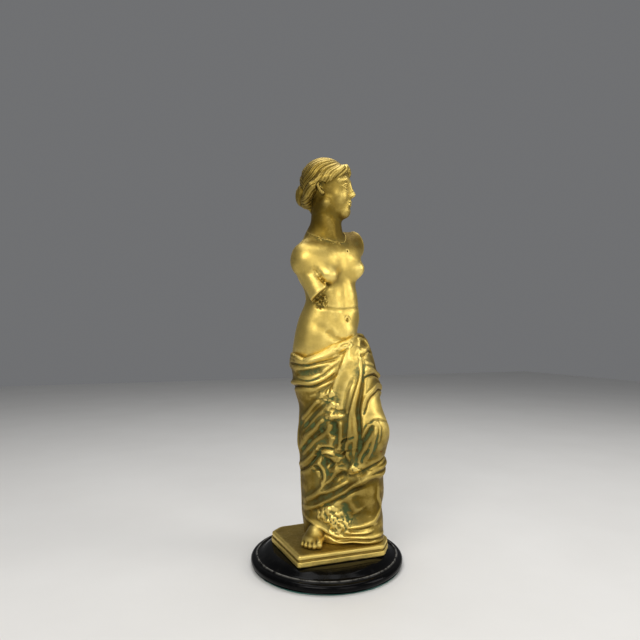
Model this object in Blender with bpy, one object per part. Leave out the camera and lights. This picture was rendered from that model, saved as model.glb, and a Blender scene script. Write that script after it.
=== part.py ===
"""Bronze statuette: a standing woman in a wrapped cloth, on a plinth and a round turned base.

Metres, +Z up, origin at the centre of the felt's underside. The figure faces -Y; her left is +X.
The casting is assembled from its parts: head, torso, two arm stumps and the drapery, with pins
between them, and one threaded rod that holds drapery, plinth and base together.
"""
import math

import bmesh
import bpy
from mathutils import Matrix, Vector

MM = 0.001
GAP = 0.3 * MM                      # clearance between pieces that touch

# Base and plinth
BASE_RADIUS = 56 * MM
BASE_TOP = 11 * MM
FELT_RADIUS = 54.6 * MM
FELT_TOP = 1.0 * MM
COUNTERBORE_RADIUS = 10 * MM
COUNTERBORE_TOP = 6.4 * MM
PLINTH_TOP = 19 * MM
PLINTH_PLAN = ((-32.5, -31.5), (31, -33), (41, -20), (41, 10), (32, 31), (-28, 29), (-37, 21))
PLINTH_BANDS = ((0.0, 0.0), (0.0, 3.4), (1.2, 3.7), (1.2, 4.7), (0.5, 5.0), (0.5, 7.0), (1.5, 7.7))

# Tie rod and its fittings, on the axis of the base
ROD_RADIUS = 2.9 * MM
ROD_BOTTOM = 2.6 * MM
ROD_TOP = 52 * MM
NUT_ACROSS_FLATS = 10 * MM
NUT_HEIGHT = 2.4 * MM
WASHER_RADIUS = 8.5 * MM
WASHER_HEIGHT = 1.0 * MM
BRIDGE_SIZE = (15 * MM, 7 * MM, 5 * MM)
BRIDGE_BOTTOM = 40 * MM

# Pins
NECK_BORE_RADIUS = 3.7 * MM
ARM_DOWEL_RADIUS = 1.8 * MM
WAIST_DOWEL_RADIUS = 1.5 * MM
PLINTH_PIN_RADIUS = 1.5 * MM
PLUG_RADIUS = 1.6 * MM

# Sculpting: the castings are built from simple masses, fused at this grid size
GRID = 1.7 * MM
SMOOTH_ROUNDS = 7


def placed(origin, turn=0.0, roll=0.0, nod=0.0):
    """A frame in millimetres: turned to her left about Z, then rolled about Y and nodded about X."""
    turned = Matrix.Rotation(math.radians(turn), 4, "Z")
    rolled = Matrix.Rotation(math.radians(roll), 4, "Y")
    nodded = Matrix.Rotation(math.radians(nod), 4, "X")
    return Matrix.Scale(MM, 4) @ Matrix.Translation(origin) @ turned @ rolled @ nodded


WORLD = placed((0, 0, 0))
HEAD = placed((0.3, 0.3, 254.6), turn=54)
NECK = placed((0, 1, 240), turn=34)
CHEST = placed((1, 1, 215), turn=22, roll=-10, nod=-2)
WAIST = placed((3, 0, 188), turn=19, roll=-2)
PELVIS = placed((1, 2, 155), turn=14, roll=4)
HIPS = placed((4.2, 1, 152), turn=14, roll=5)
FOOT = placed((-17.2, -17.4, 19), turn=-26)

# Masses: (frame, centre, radii) for a ball, (frame, start, end, start radius, end radius) for a limb
HEAD_MASSES = (
    (HEAD, (0, 1, 28), (15.8, 18.5, 18)),
    (HEAD, (0, -5, 18), (12.2, 14.5, 16)),
    (HEAD, (0, -12.5, 4.8), (5.6, 5.5, 4.6)),
    (HEAD, (-9, -2, 9), (-2, -12, 5), 5, 4),
    (HEAD, (9, -2, 9), (2, -12, 5), 5, 4),
    (HEAD, (0, -18.0, 25), (0, -21.0, 17.5), 1.8, 2.3),
    (HEAD, (-12.5, -5, 28), (-10, 12, 20), 5, 4.5),
    (HEAD, (12.5, -5, 28), (10, 12, 20), 5, 4.5),
    (HEAD, (0, 14.6, 18), (8, 8, 9.2)),
    (HEAD, (0, 13, 14), (0, 10.5, 6), 4.5, 2.5),
)
NECK_MASSES = (
    (NECK, (0, 1, -10), (0, 0.5, 23), 12.6, 10.4),
)
TORSO_MASSES = (
    (CHEST, (1, 0, -3), (22, 16, 25)),
    (CHEST, (0, 1, 12), (21, 12.5, 11)),
    (CHEST, (1, -4, 4), (18, 13.5, 16)),
    (CHEST, (-11, 10, 5), (9.5, 5, 14)),
    (CHEST, (11, 10, 5), (9.5, 5, 14)),
    (CHEST, (0, 6, 26), (-16, 3, 15), 7, 6.5),
    (CHEST, (0, 6, 26), (17, 3, 17), 7, 6.5),
    (CHEST, (-18, 1, 10), (8, 9.5, 10)),
    (CHEST, (18, 1, 13), (8, 9.5, 9.5)),
    (CHEST, (-13.8, -12.5, -2.5), (9.3, 9.5, 9)),
    (CHEST, (15.2, -12.5, -0.5), (9.3, 9.8, 9)),
    (CHEST, (-12, -8, 5), (9, 8, 10)),
    (CHEST, (13, -8, 6), (9, 8, 10)),
    (WAIST, (1.5, 0, 0), (21.5, 14.5, 22)),
    (WAIST, (0, 0, -12), (23, 15.5, 15)),
    (WAIST, (0, -6, -18), (15, 11, 15)),
    (PELVIS, (0, 0, 2), (26.5, 18.5, 21)),
    (PELVIS, (-9, 0, 13), (14.5, 14, 20)),
    (PELVIS, (-9.5, 9, -6), (12.5, 11.5, 14)),
    (PELVIS, (9.5, 9, -7), (12.5, 11.5, 14)),
)
RIGHT_ARM_MASSES = (
    (CHEST, (-21, 0, 10.6), (9.3, 10, 10)),
    (CHEST, (-21.5, -0.5, 7), (-20, -10.5, -15), 9, 8.2),
)
LEFT_ARM_MASSES = (
    (CHEST, (17, 1, 13.5), (40, 0, 20.5), 10, 10.3),
)
DRAPERY_MASSES = (
    (HIPS, (-0.5, 0, -1), (31.5, 21.5, 26)),
    (HIPS, (-9.5, 10, -4), (14, 13, 17)),
    (HIPS, (9.5, 10, -5), (14, 13, 17)),
    (WORLD, (-3.5, 2, 132), (-5, 3, 90), 17.5, 13.6),
    (WORLD, (-5, 3, 90), (-3, 3, 10), 13.8, 12.5),
    (WORLD, (14, -6, 143), (20.5, -26, 98), 19, 15.5),
    (WORLD, (27, -2, 168), (14, -17, 164), 5.5, 5),
    (WORLD, (27, 2, 160), (30.5, -11, 126), 8, 9.5),
    (WORLD, (-8, 2, 150), (-6.5, 2, 133), 18.5, 17.5),
    (WORLD, (20.5, -26, 98), (22.5, -17, 55), 15.5, 13.3),
    (WORLD, (22.5, -17, 55), (23.5, -16.5, 10), 13.3, 13.8),
    (WORLD, (10, 7, 128), (11, 7, 10), 15.5, 15),
    (WORLD, (5, -12, 118), (4, -12, 10), 12.5, 11.5),
    (FOOT, (1.5, 13, 4), (-0.6, 3, 3), 7, 4.5),
    (FOOT, (-0.6, 3, 3), (4.6, -3.9, 2.4), 4.5, 2.6),
    (FOOT, (-0.6, 3, 3), (1.6, -5.0, 2.2), 4.0, 2.2),
    (FOOT, (-1.5, 3, 3), (-1.6, -4.4, 2.1), 4.0, 2.1),
    (FOOT, (-2.0, 3, 3), (-6.4, -1.4, 2.0), 4.0, 2.0),
)

# Cutting planes: a point on the plane and its normal, in a frame
NECK_SEAM = (NECK, (0, 0, 1.5), (0, -0.45, 1))
HIP_SEAM = (PELVIS, (0, 0, 9.5), (-0.34, -0.14, 1))
RIGHT_ARM_SEAM = (CHEST, (-16.5, 0, 6), (-1, -0.15, 0.1))
RIGHT_ARM_END = (CHEST, (-20.5, -9, -16.5), (0.25, -0.5, -0.83))
LEFT_ARM_SEAM = (CHEST, (20.5, 1, 15), (1, 0, 0.1))
LEFT_ARM_END = (CHEST, (33, 0, 18), (1, 0, 0))
ARM_CLEARANCE = 0.9                 # room for the right stump, which lies along the ribs
ARM_SEAM_SIZE = (20, 40, 42)        # the box cutter that clears the torso outside an arm seam


def material(name, colour, roughness, metallic):
    """A Principled material."""
    made = bpy.data.materials.new(name)
    made.use_nodes = True
    shader = made.node_tree.nodes["Principled BSDF"]
    shader.inputs["Base Color"].default_value = (*colour, 1)
    shader.inputs["Roughness"].default_value = roughness
    shader.inputs["Metallic"].default_value = metallic
    return made


def object_from(bm, name, look, smooth=True):
    """Closes a bmesh into an object with one material."""
    bmesh.ops.recalc_face_normals(bm, faces=bm.faces[:])
    mesh = bpy.data.meshes.new(name)
    bm.to_mesh(mesh)
    bm.free()
    if smooth:
        mesh.shade_smooth()
        mesh.set_sharp_from_angle(angle=math.radians(35))
    mesh.materials.append(look)
    made = bpy.data.objects.new(name, mesh)
    bpy.context.scene.collection.objects.link(made)
    return made


def add_ball(bm, frame, centre, radii):
    """An ellipsoid."""
    matrix = frame @ Matrix.Translation(centre) @ Matrix.Diagonal((*radii, 1))
    bmesh.ops.create_uvsphere(bm, u_segments=32, v_segments=20, radius=1, matrix=matrix)


def add_limb(bm, frame, start, end, start_radius, end_radius):
    """A rounded cone: a ball at each end and the tapered body between them."""
    add_ball(bm, frame, start, (start_radius,) * 3)
    add_ball(bm, frame, end, (end_radius,) * 3)
    along = Vector(end) - Vector(start)
    middle = (Vector(start) + Vector(end)) / 2
    matrix = frame @ Matrix.Translation(middle) @ along.to_track_quat("Z", "Y").to_matrix().to_4x4()
    bmesh.ops.create_cone(
        bm, cap_ends=True, segments=32, radius1=start_radius, radius2=end_radius,
        depth=along.length, matrix=matrix,
    )


def fused(masses, faces):
    """One smooth body made of overlapping masses, reduced to about the given number of triangles."""
    bm = bmesh.new()
    for mass in masses:
        if len(mass) == 3:
            add_ball(bm, *mass)
        else:
            add_limb(bm, *mass)
    mesh = bpy.data.meshes.new("masses")
    bm.to_mesh(mesh)
    bm.free()
    body = bpy.data.objects.new("masses", mesh)
    bpy.context.scene.collection.objects.link(body)

    remesh = body.modifiers.new("fuse", "REMESH")
    remesh.mode = "VOXEL"
    remesh.voxel_size = GRID
    smooth = body.modifiers.new("soften", "SMOOTH")
    smooth.factor = 0.5
    smooth.iterations = SMOOTH_ROUNDS
    triangles = 2 * len(evaluated(body).polygons)
    reduce = body.modifiers.new("reduce", "DECIMATE")
    reduce.ratio = min(1.0, faces / triangles)

    result = bmesh.new()
    result.from_mesh(evaluated(body))
    bpy.data.objects.remove(body)
    return result


def evaluated(body):
    """The object's mesh with its modifiers applied."""
    graph = bpy.context.evaluated_depsgraph_get()
    return bpy.data.meshes.new_from_object(body.evaluated_get(graph))


def keep_side(bm, seam, above, clearance=GAP / 2):
    """Cuts a body flat along a seam, keeps one side of it and caps the cut."""
    frame, point, normal = seam
    at = frame @ Vector(point)
    direction = (frame.to_3x3() @ Vector(normal)).normalized()
    if not above:
        direction = -direction
    bmesh.ops.bisect_plane(
        bm, geom=bm.verts[:] + bm.edges[:] + bm.faces[:], dist=1e-7,
        plane_co=at + direction * clearance, plane_no=direction, clear_inner=True,
    )
    rim = [edge for edge in bm.edges if edge.is_boundary]
    bmesh.ops.edgeloop_fill(bm, edges=rim)
    bmesh.ops.triangulate(bm, faces=[face for face in bm.faces if len(face.verts) > 4])


def seam_box(name, look, seam, size):
    """A box that stands on a seam, on its outer side."""
    frame, point, normal = seam
    outward = Vector(normal).normalized()
    centre = Vector(point) + outward * (size[0] / 2 - GAP / MM / 2)
    matrix = frame @ Matrix.Translation(centre) @ outward.to_track_quat("X", "Z").to_matrix().to_4x4()
    bm = bmesh.new()
    bmesh.ops.create_cube(bm, size=1, matrix=matrix @ Matrix.Diagonal((*size, 1)))
    return object_from(bm, name, look, smooth=False)


def turned(name, look, profile, segments=64):
    """A ring or disc turned from a closed outline of (radius, height) points about the Z axis."""
    bm = bmesh.new()
    corners = [bm.verts.new((radius, 0, height)) for radius, height in profile]
    edges = [bm.edges.new((a, b)) for a, b in zip(corners, corners[1:] + corners[:1])]
    bmesh.ops.spin(
        bm, geom=corners + edges, axis=(0, 0, 1), cent=(0, 0, 0), angle=math.tau, steps=segments,
        use_merge=True, use_normal_flip=False,
    )
    bmesh.ops.remove_doubles(bm, verts=bm.verts[:], dist=1e-6)
    return object_from(bm, name, look)


def rod(name, look, start, end, radius, segments=20, bevel=0.0):
    """A round bar between two points."""
    start, end = Vector(start), Vector(end)
    along = end - start
    matrix = Matrix.Translation((start + end) / 2) @ along.to_track_quat("Z", "Y").to_matrix().to_4x4()
    bm = bmesh.new()
    bmesh.ops.create_cone(
        bm, cap_ends=True, segments=segments, radius1=radius, radius2=radius, depth=along.length,
        matrix=matrix,
    )
    if bevel:
        rims = [edge for edge in bm.edges if any(len(face.verts) > 4 for face in edge.link_faces)]
        bmesh.ops.bevel(bm, geom=rims, offset=bevel, segments=2, affect="EDGES", profile=0.5)
    return object_from(bm, name, look)


def cut(body, cutter):
    """Takes a cutter out of a body and hides the cutter."""
    boolean = body.modifiers.new(cutter.name, "BOOLEAN")
    boolean.operation = "DIFFERENCE"
    boolean.solver = "EXACT"
    boolean.object = cutter
    cutter.hide_render = True
    cutter.display_type = "WIRE"


def core(name, look, masses, faces):
    """A core: the hollow that it leaves in a casting."""
    made = object_from(fused(masses, faces), name, look)
    made.hide_render = True
    made.display_type = "WIRE"
    return made


def dowel(name, look, start, end, hosts, radius):
    """A pin across a seam, with a blind hole for it in each of its hosts."""
    start, end = Vector(start), Vector(end)
    along = (end - start).normalized()
    pin = rod(name, look, start, end, radius, bevel=0.3 * MM)
    hole = rod(name + "_hole", look, start - along * GAP, end + along * GAP, radius + GAP)
    for host in hosts:
        cut(host, hole)
    return pin


def plinth_level(bm, inset, height):
    """One outline of the plinth, drawn in by an inset, at a height above the base."""
    corners = []
    for x, y in PLINTH_PLAN:
        reach = math.hypot(x, y)
        scale = (reach - inset) / reach * MM
        corners.append(bm.verts.new((x * scale, y * scale, BASE_TOP + GAP + height * MM)))
    return corners


def make_plinth(look):
    """The plinth: two bands with a groove between them."""
    bm = bmesh.new()
    levels = [plinth_level(bm, inset, height) for inset, height in PLINTH_BANDS]
    for low, high in zip(levels, levels[1:]):
        for corner in range(len(low)):
            after = (corner + 1) % len(low)
            bm.faces.new((low[corner], low[after], high[after], high[corner]))
    bm.faces.new(levels[0])
    bm.faces.new(levels[-1])
    upright = [
        edge for edge in bm.edges
        if abs(edge.verts[0].co.z - edge.verts[1].co.z) > 0.1 * MM
    ]
    bmesh.ops.bevel(bm, geom=upright, offset=1.6 * MM, segments=3, affect="EDGES", profile=0.5)
    return object_from(bm, "plinth_casting", look)


def arc(centre_radius, centre_height, radius, first, last, steps):
    """Points of an arc in a turned outline, angles in degrees from +radius towards +Z."""
    points = []
    for step in range(steps + 1):
        angle = math.radians(first + (last - first) * step / steps)
        points.append((centre_radius + radius * math.cos(angle), centre_height + radius * math.sin(angle)))
    return points


def make_base(look):
    """The turned base: a round outer rim, a fine ring, a cove and a raised top."""
    bottom = FELT_TOP + GAP
    bore = ROD_RADIUS + GAP
    outline = [(bore, BASE_TOP), (bore, COUNTERBORE_TOP)]
    outline += [(COUNTERBORE_RADIUS, COUNTERBORE_TOP), (COUNTERBORE_RADIUS, bottom)]
    outline += [(BASE_RADIUS - 1.2 * MM, bottom), (BASE_RADIUS - 0.3 * MM, bottom + 0.5 * MM)]
    outline += arc(BASE_RADIUS - 2.6 * MM, bottom + 2.7 * MM, 2.6 * MM, -25, 90, 7)
    outline += [(51.8 * MM, bottom + 5.4 * MM), (51.4 * MM, bottom + 6.3 * MM), (50.6 * MM, bottom + 6.3 * MM)]
    outline += [(50.0 * MM, bottom + 5.9 * MM), (48.5 * MM, bottom + 6.6 * MM), (46 * MM, BASE_TOP - 1.6 * MM)]
    outline += [(43.5 * MM, BASE_TOP - 0.5 * MM), (41 * MM, BASE_TOP)]
    return turned("base_disc", look, outline)


def make_nut(name, look, bottom):
    """A hexagonal nut on the tie rod."""
    bm = bmesh.new()
    corner = NUT_ACROSS_FLATS / math.sqrt(3)
    bore = ROD_RADIUS + GAP
    rings = []
    for height in (bottom, bottom + NUT_HEIGHT):
        outer, inner = [], []
        for step in range(24):
            angle = math.tau * step / 24
            off = abs((math.degrees(angle) + 30) % 60 - 30)
            reach = corner * math.cos(math.radians(30)) / math.cos(math.radians(30 - off))
            outer.append(bm.verts.new((reach * math.cos(angle), reach * math.sin(angle), height)))
            inner.append(bm.verts.new((bore * math.cos(angle), bore * math.sin(angle), height)))
        rings.append((outer, inner))
    (low_outer, low_inner), (high_outer, high_inner) = rings
    for a, b in ((low_outer, high_outer), (high_outer, high_inner), (high_inner, low_inner),
                 (low_inner, low_outer)):
        for step in range(24):
            after = (step + 1) % 24
            bm.faces.new((a[step], a[after], b[after], b[step]))
    return object_from(bm, name, look, smooth=False)


def make_bridge(look):
    """The bar across the mouth of the leg hollow, with a hole for the rod."""
    bm = bmesh.new()
    middle = Matrix.Translation((0, 0, BRIDGE_BOTTOM + BRIDGE_SIZE[2] / 2))
    bmesh.ops.create_cube(bm, size=1, matrix=middle @ Matrix.Diagonal((*BRIDGE_SIZE, 1)))
    bridge = object_from(bm, "rod_bridge", look, smooth=False)
    top = BRIDGE_BOTTOM + BRIDGE_SIZE[2]
    hole = rod("bridge_hole", look, (0, 0, BRIDGE_BOTTOM - MM), (0, 0, top + MM), ROD_RADIUS + GAP)
    cut(bridge, hole)
    return bridge


def make_castings(bronze):
    """Head, torso, arm stumps and drapery, cut apart at their seams, and hollow."""
    head = fused(HEAD_MASSES + NECK_MASSES, 1500)
    keep_side(head, NECK_SEAM, above=True)

    torso = fused(TORSO_MASSES + NECK_MASSES, 3000)
    keep_side(torso, NECK_SEAM, above=False)
    keep_side(torso, HIP_SEAM, above=True)

    right_arm = fused(RIGHT_ARM_MASSES, 700)
    keep_side(right_arm, RIGHT_ARM_SEAM, above=True)
    keep_side(right_arm, RIGHT_ARM_END, above=False)

    left_arm = fused(LEFT_ARM_MASSES, 500)
    keep_side(left_arm, LEFT_ARM_SEAM, above=True)
    keep_side(left_arm, LEFT_ARM_END, above=False)

    drapery = fused(DRAPERY_MASSES, 3600)
    keep_side(drapery, HIP_SEAM, above=False)
    floor = (WORLD, (0, 0, PLINTH_TOP / MM), (0, 0, 1))
    keep_side(drapery, floor, above=True, clearance=GAP)

    parts = {
        "head_casting": head, "torso_casting": torso, "right_arm_casting": right_arm,
        "left_arm_casting": left_arm, "drapery_casting": drapery,
    }
    castings = {name: object_from(bm, name, bronze) for name, bm in parts.items()}
    for side, seam in (("right", RIGHT_ARM_SEAM), ("left", LEFT_ARM_SEAM)):
        cut(castings["torso_casting"], seam_box(side + "_arm_box", bronze, seam, ARM_SEAM_SIZE))
    frame, start, end, start_radius, end_radius = RIGHT_ARM_MASSES[1]
    groove = ((frame, start, end, start_radius + ARM_CLEARANCE, end_radius + ARM_CLEARANCE),)
    cut(castings["torso_casting"], core("right_arm_groove", bronze, groove, 700))
    return castings


def make_hollows(castings, look):
    """The cores of the head, the torso and the two legs of the drapery."""
    head_core = core("head_core", look, ((HEAD, (0, 1, 25), (10.5, 12.5, 12)),), 300)
    cut(castings["head_casting"], head_core)

    torso_core = core("torso_core", look, (
        (CHEST, (0, 0, 0), (14.5, 9.5, 17)),
        (WAIST, (0, 0, -5), (12, 8.5, 20)),
        (PELVIS, (0, 2, 5), (14.5, 10, 16)),
    ), 500)
    cut(castings["torso_casting"], torso_core)

    neck_hole = rod("neck_hole", look, NECK @ Vector((0, 1, -16)), NECK @ Vector((0, 1, 33)), NECK_BORE_RADIUS)
    cut(castings["head_casting"], neck_hole)
    cut(castings["torso_casting"], neck_hole)

    right_leg = core("right_leg_core", look, (
        (PELVIS, (-3, 2, 6), (13.5, 10.5, 14)),
        (WORLD, (-2, 2, 138), (-1.5, 1, 90), 11, 9.8),
        (WORLD, (-1.5, 1, 90), (0, 0, 10), 9.8, 9.8),
    ), 600)
    cut(castings["drapery_casting"], right_leg)

    left_leg = core("left_leg_core", look, (
        (WORLD, (20, -22, 100), (22.5, -16, 55), 9.5, 8.5),
        (WORLD, (22.5, -16, 55), (23.5, -15.5, 10), 8.5, 8.8),
    ), 400)
    cut(castings["drapery_casting"], left_leg)


def make_pins(castings, plinth, base, brass, steel):
    """Every pin between castings, and the locating pins of the plinth."""
    torso = castings["torso_casting"]
    right_arm, left_arm = castings["right_arm_casting"], castings["left_arm_casting"]
    drapery = castings["drapery_casting"]
    rod("neck_dowel", brass, NECK @ Vector((0, 1, -12)), NECK @ Vector((0, 1, 15)),
        NECK_BORE_RADIUS - GAP, bevel=0.3 * MM)
    dowel("right_arm_dowel", brass, CHEST @ Vector((-22.5, -1, 6)), CHEST @ Vector((-16, 0, 5)),
          (torso, right_arm), radius=ARM_DOWEL_RADIUS)
    dowel("left_arm_dowel", brass, CHEST @ Vector((16.5, 1, 14)), CHEST @ Vector((27, 0.5, 16)),
          (torso, left_arm), radius=ARM_DOWEL_RADIUS)
    for side, x, seam_height in (("left", 18.5, 15.6), ("right", -19.5, 3)):
        low = PELVIS @ Vector((x, 1, seam_height - 6.5))
        high = PELVIS @ Vector((x, 1, seam_height + 6.5))
        dowel("waist_dowel_" + side, brass, low, high, (torso, drapery), radius=WAIST_DOWEL_RADIUS)
    for side, y in (("front", -22), ("back", 22)):
        low = (0, y * MM, BASE_TOP - 3.5 * MM)
        high = (0, y * MM, PLINTH_TOP - 3.5 * MM)
        dowel("plinth_pin_" + side, steel, low, high, (base, plinth), radius=PLINTH_PIN_RADIUS)


def make_plug(name, look, frame, surface, inward, host):
    """A core plug: a short pin set just proud of the skin, in a blind hole."""
    outer = frame @ Vector(surface)
    direction = (frame.to_3x3() @ Vector(inward)).normalized()
    inner = outer + direction * 5 * MM
    rod(name, look, outer, inner, PLUG_RADIUS, segments=14)
    hole = rod(name + "_hole", look, outer - direction * 3 * MM, inner + direction * GAP, PLUG_RADIUS + GAP,
               segments=14)
    cut(host, hole)


def main():
    for leftover in list(bpy.data.objects):
        bpy.data.objects.remove(leftover)

    bronze = material("bronze", (0.50, 0.34, 0.10), 0.34, 1.0)
    plinth_bronze = material("plinth_bronze", (0.45, 0.29, 0.09), 0.38, 1.0)
    brass = material("brass_pin", (0.62, 0.47, 0.18), 0.3, 1.0)
    copper = material("copper_plug", (0.35, 0.12, 0.05), 0.45, 1.0)
    steel = material("steel", (0.5, 0.5, 0.5), 0.35, 1.0)
    black = material("black_lacquer", (0.008, 0.008, 0.009), 0.18, 0.0)
    green = material("green_felt", (0.02, 0.14, 0.11), 0.95, 0.0)

    castings = make_castings(bronze)
    plinth = make_plinth(plinth_bronze)
    base = make_base(black)
    felt_outline = [(0.4 * MM, 0), (0.4 * MM, FELT_TOP), (FELT_RADIUS, FELT_TOP), (FELT_RADIUS, 0)]
    turned("felt_pad", green, felt_outline)

    make_hollows(castings, bronze)
    make_pins(castings, plinth, base, brass, steel)
    cloth, torso = castings["drapery_casting"], castings["torso_casting"]
    make_plug("core_plug_shin", copper, WORLD, (26.2, -38.0, 87), (-0.35, 0.94, 0), cloth)
    make_plug("core_plug_chest", copper, CHEST, (7.5, -13.4, 16), (-0.1, 1, -0.1), torso)

    rod_hole = rod("plinth_rod_hole", steel, (0, 0, BASE_TOP - MM), (0, 0, PLINTH_TOP + MM), ROD_RADIUS + GAP)
    cut(plinth, rod_hole)
    rod("tie_rod", steel, (0, 0, ROD_BOTTOM), (0, 0, ROD_TOP), ROD_RADIUS, bevel=0.4 * MM)
    make_bridge(brass)
    make_nut("rod_lock_nut", steel, BRIDGE_BOTTOM + BRIDGE_SIZE[2] + GAP)
    washer_top = COUNTERBORE_TOP - GAP
    bore = ROD_RADIUS + GAP
    turned("base_washer", steel, [
        (bore, washer_top - WASHER_HEIGHT), (bore, washer_top),
        (WASHER_RADIUS, washer_top), (WASHER_RADIUS, washer_top - WASHER_HEIGHT),
    ], segments=32)
    make_nut("base_nut", steel, washer_top - WASHER_HEIGHT - GAP - NUT_HEIGHT)


main()
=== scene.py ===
"""The bronze statuette's finished look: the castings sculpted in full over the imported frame."""
import math

import bmesh
import bpy
import numpy as np
from mathutils import Matrix, Vector


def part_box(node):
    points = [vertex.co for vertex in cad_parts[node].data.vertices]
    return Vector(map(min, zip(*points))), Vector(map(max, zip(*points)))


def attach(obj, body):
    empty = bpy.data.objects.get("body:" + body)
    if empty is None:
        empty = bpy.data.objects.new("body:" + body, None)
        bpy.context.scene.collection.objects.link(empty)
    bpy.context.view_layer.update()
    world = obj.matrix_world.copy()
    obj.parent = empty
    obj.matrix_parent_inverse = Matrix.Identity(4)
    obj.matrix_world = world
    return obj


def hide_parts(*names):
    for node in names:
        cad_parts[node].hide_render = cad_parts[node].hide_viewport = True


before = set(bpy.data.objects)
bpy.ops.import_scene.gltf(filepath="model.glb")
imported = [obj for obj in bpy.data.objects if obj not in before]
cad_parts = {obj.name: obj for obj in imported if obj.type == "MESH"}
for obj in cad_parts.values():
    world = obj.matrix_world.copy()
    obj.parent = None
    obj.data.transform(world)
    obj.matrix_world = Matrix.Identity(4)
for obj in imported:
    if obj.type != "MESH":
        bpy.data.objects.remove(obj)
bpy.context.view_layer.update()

MM = 0.001
FLOOR_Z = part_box("felt_pad")[0][2]
PLINTH_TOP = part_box("plinth_casting")[1][2] / MM


# ---------------------------------------------------------------------------------------------
# Sculpting with signed distances, in millimetres
# ---------------------------------------------------------------------------------------------

def placed(origin, turn=0.0, roll=0.0, nod=0.0):
    """A local frame: x to the figure's left, y to its back, z up, turned about Z to its left."""
    about_z = Matrix.Rotation(math.radians(turn), 3, "Z")
    about_y = Matrix.Rotation(math.radians(roll), 3, "Y")
    about_x = Matrix.Rotation(math.radians(nod), 3, "X")
    return np.array(origin, float), np.array(about_z @ about_y @ about_x)


def to_local(points, place):
    """Points in a local frame."""
    origin, axes = place
    return (points - origin) @ axes


def ball(points, centre, radii):
    """Distance to an ellipsoid, near enough close to its surface."""
    offset = points - np.array(centre, float)
    radii = np.array(radii, float)
    near = np.sqrt(((offset / radii) ** 2).sum(1))
    slope = np.sqrt(((offset / radii ** 2) ** 2).sum(1))
    return near * (near - 1) / np.maximum(slope, 1e-9)


def limb(points, start, end, start_radius, end_radius):
    """Distance to a rounded cone."""
    start = np.array(start, float)
    along = np.array(end, float) - start
    share = np.clip(((points - start) @ along) / (along @ along), 0, 1)
    offset = points - start - share[:, None] * along
    return np.sqrt((offset ** 2).sum(1)) - (start_radius + (end_radius - start_radius) * share)


def join(a, b, blend):
    """Union of two shapes, with a fillet."""
    fillet = np.maximum(blend - np.abs(a - b), 0) / blend
    return np.minimum(a, b) - fillet ** 2 * blend / 4


def carve(a, b, blend):
    """The first shape without the second, with a rounded rim."""
    return -join(-a, b, blend)


def strip(points, path, radii):
    """Distance to a chain of rounded cones through the path's points."""
    radii = np.broadcast_to(radii, len(path))
    runs = zip(path, path[1:], radii, radii[1:])
    return np.min([limb(points, a, b, ra, rb) for a, b, ra, rb in runs], axis=0)


def masses(points, rows):
    """Blends a table of masses, each in its own frame: (place, blend, centre, radii) or
    (place, blend, start, end, start radius, end radius)."""
    local, total = {}, None
    for place, blend, *shape in rows:
        key = id(place)
        if key not in local:
            local[key] = to_local(points, place)
        distance = ball(local[key], *shape) if len(shape) == 2 else limb(local[key], *shape)
        total = distance if total is None else join(total, distance, blend)
    return total


def smooth_step(value, low, high):
    """0 below low, 1 above high, smooth between."""
    share = np.clip((value - low) / (high - low), 0, 1)
    return share * share * (3 - 2 * share)


def near_to(at, centre, spread):
    """1 at a point, fading with the squared distance over the spread."""
    return np.exp(-((at - centre) ** 2).sum(1) / spread)


BLOCK = 8               # cells along a block of the sampling grid
BATCH = 2000            # blocks sampled at a time


def sample_grid(field, low, high, step):
    """Distances on a grid, worked out only in the blocks that the surface may cross."""
    low = np.array(low, float)
    blocks = np.ceil((np.array(high) - low) / step / BLOCK).astype(int)
    size = BLOCK * step
    block = np.stack(np.meshgrid(*[np.arange(k) for k in blocks], indexing="ij"), -1).reshape(-1, 3)
    middle = field(low + (block + 0.5) * size)
    values = middle.reshape(blocks).astype(np.float32)
    for axis in range(3):
        values = np.repeat(values, BLOCK, axis)
    corner = np.stack(np.meshgrid(*[np.arange(BLOCK)] * 3, indexing="ij"), -1).reshape(-1, 3)
    active = block[np.abs(middle) < size * 0.9 + 2.5]
    for first in range(0, len(active), BATCH):
        part = active[first:first + BATCH]
        index = (part[:, None, :] * BLOCK + corner[None]).reshape(-1, 3)
        values[tuple(index.T)] = field(low + index * step)
    return values, low


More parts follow.
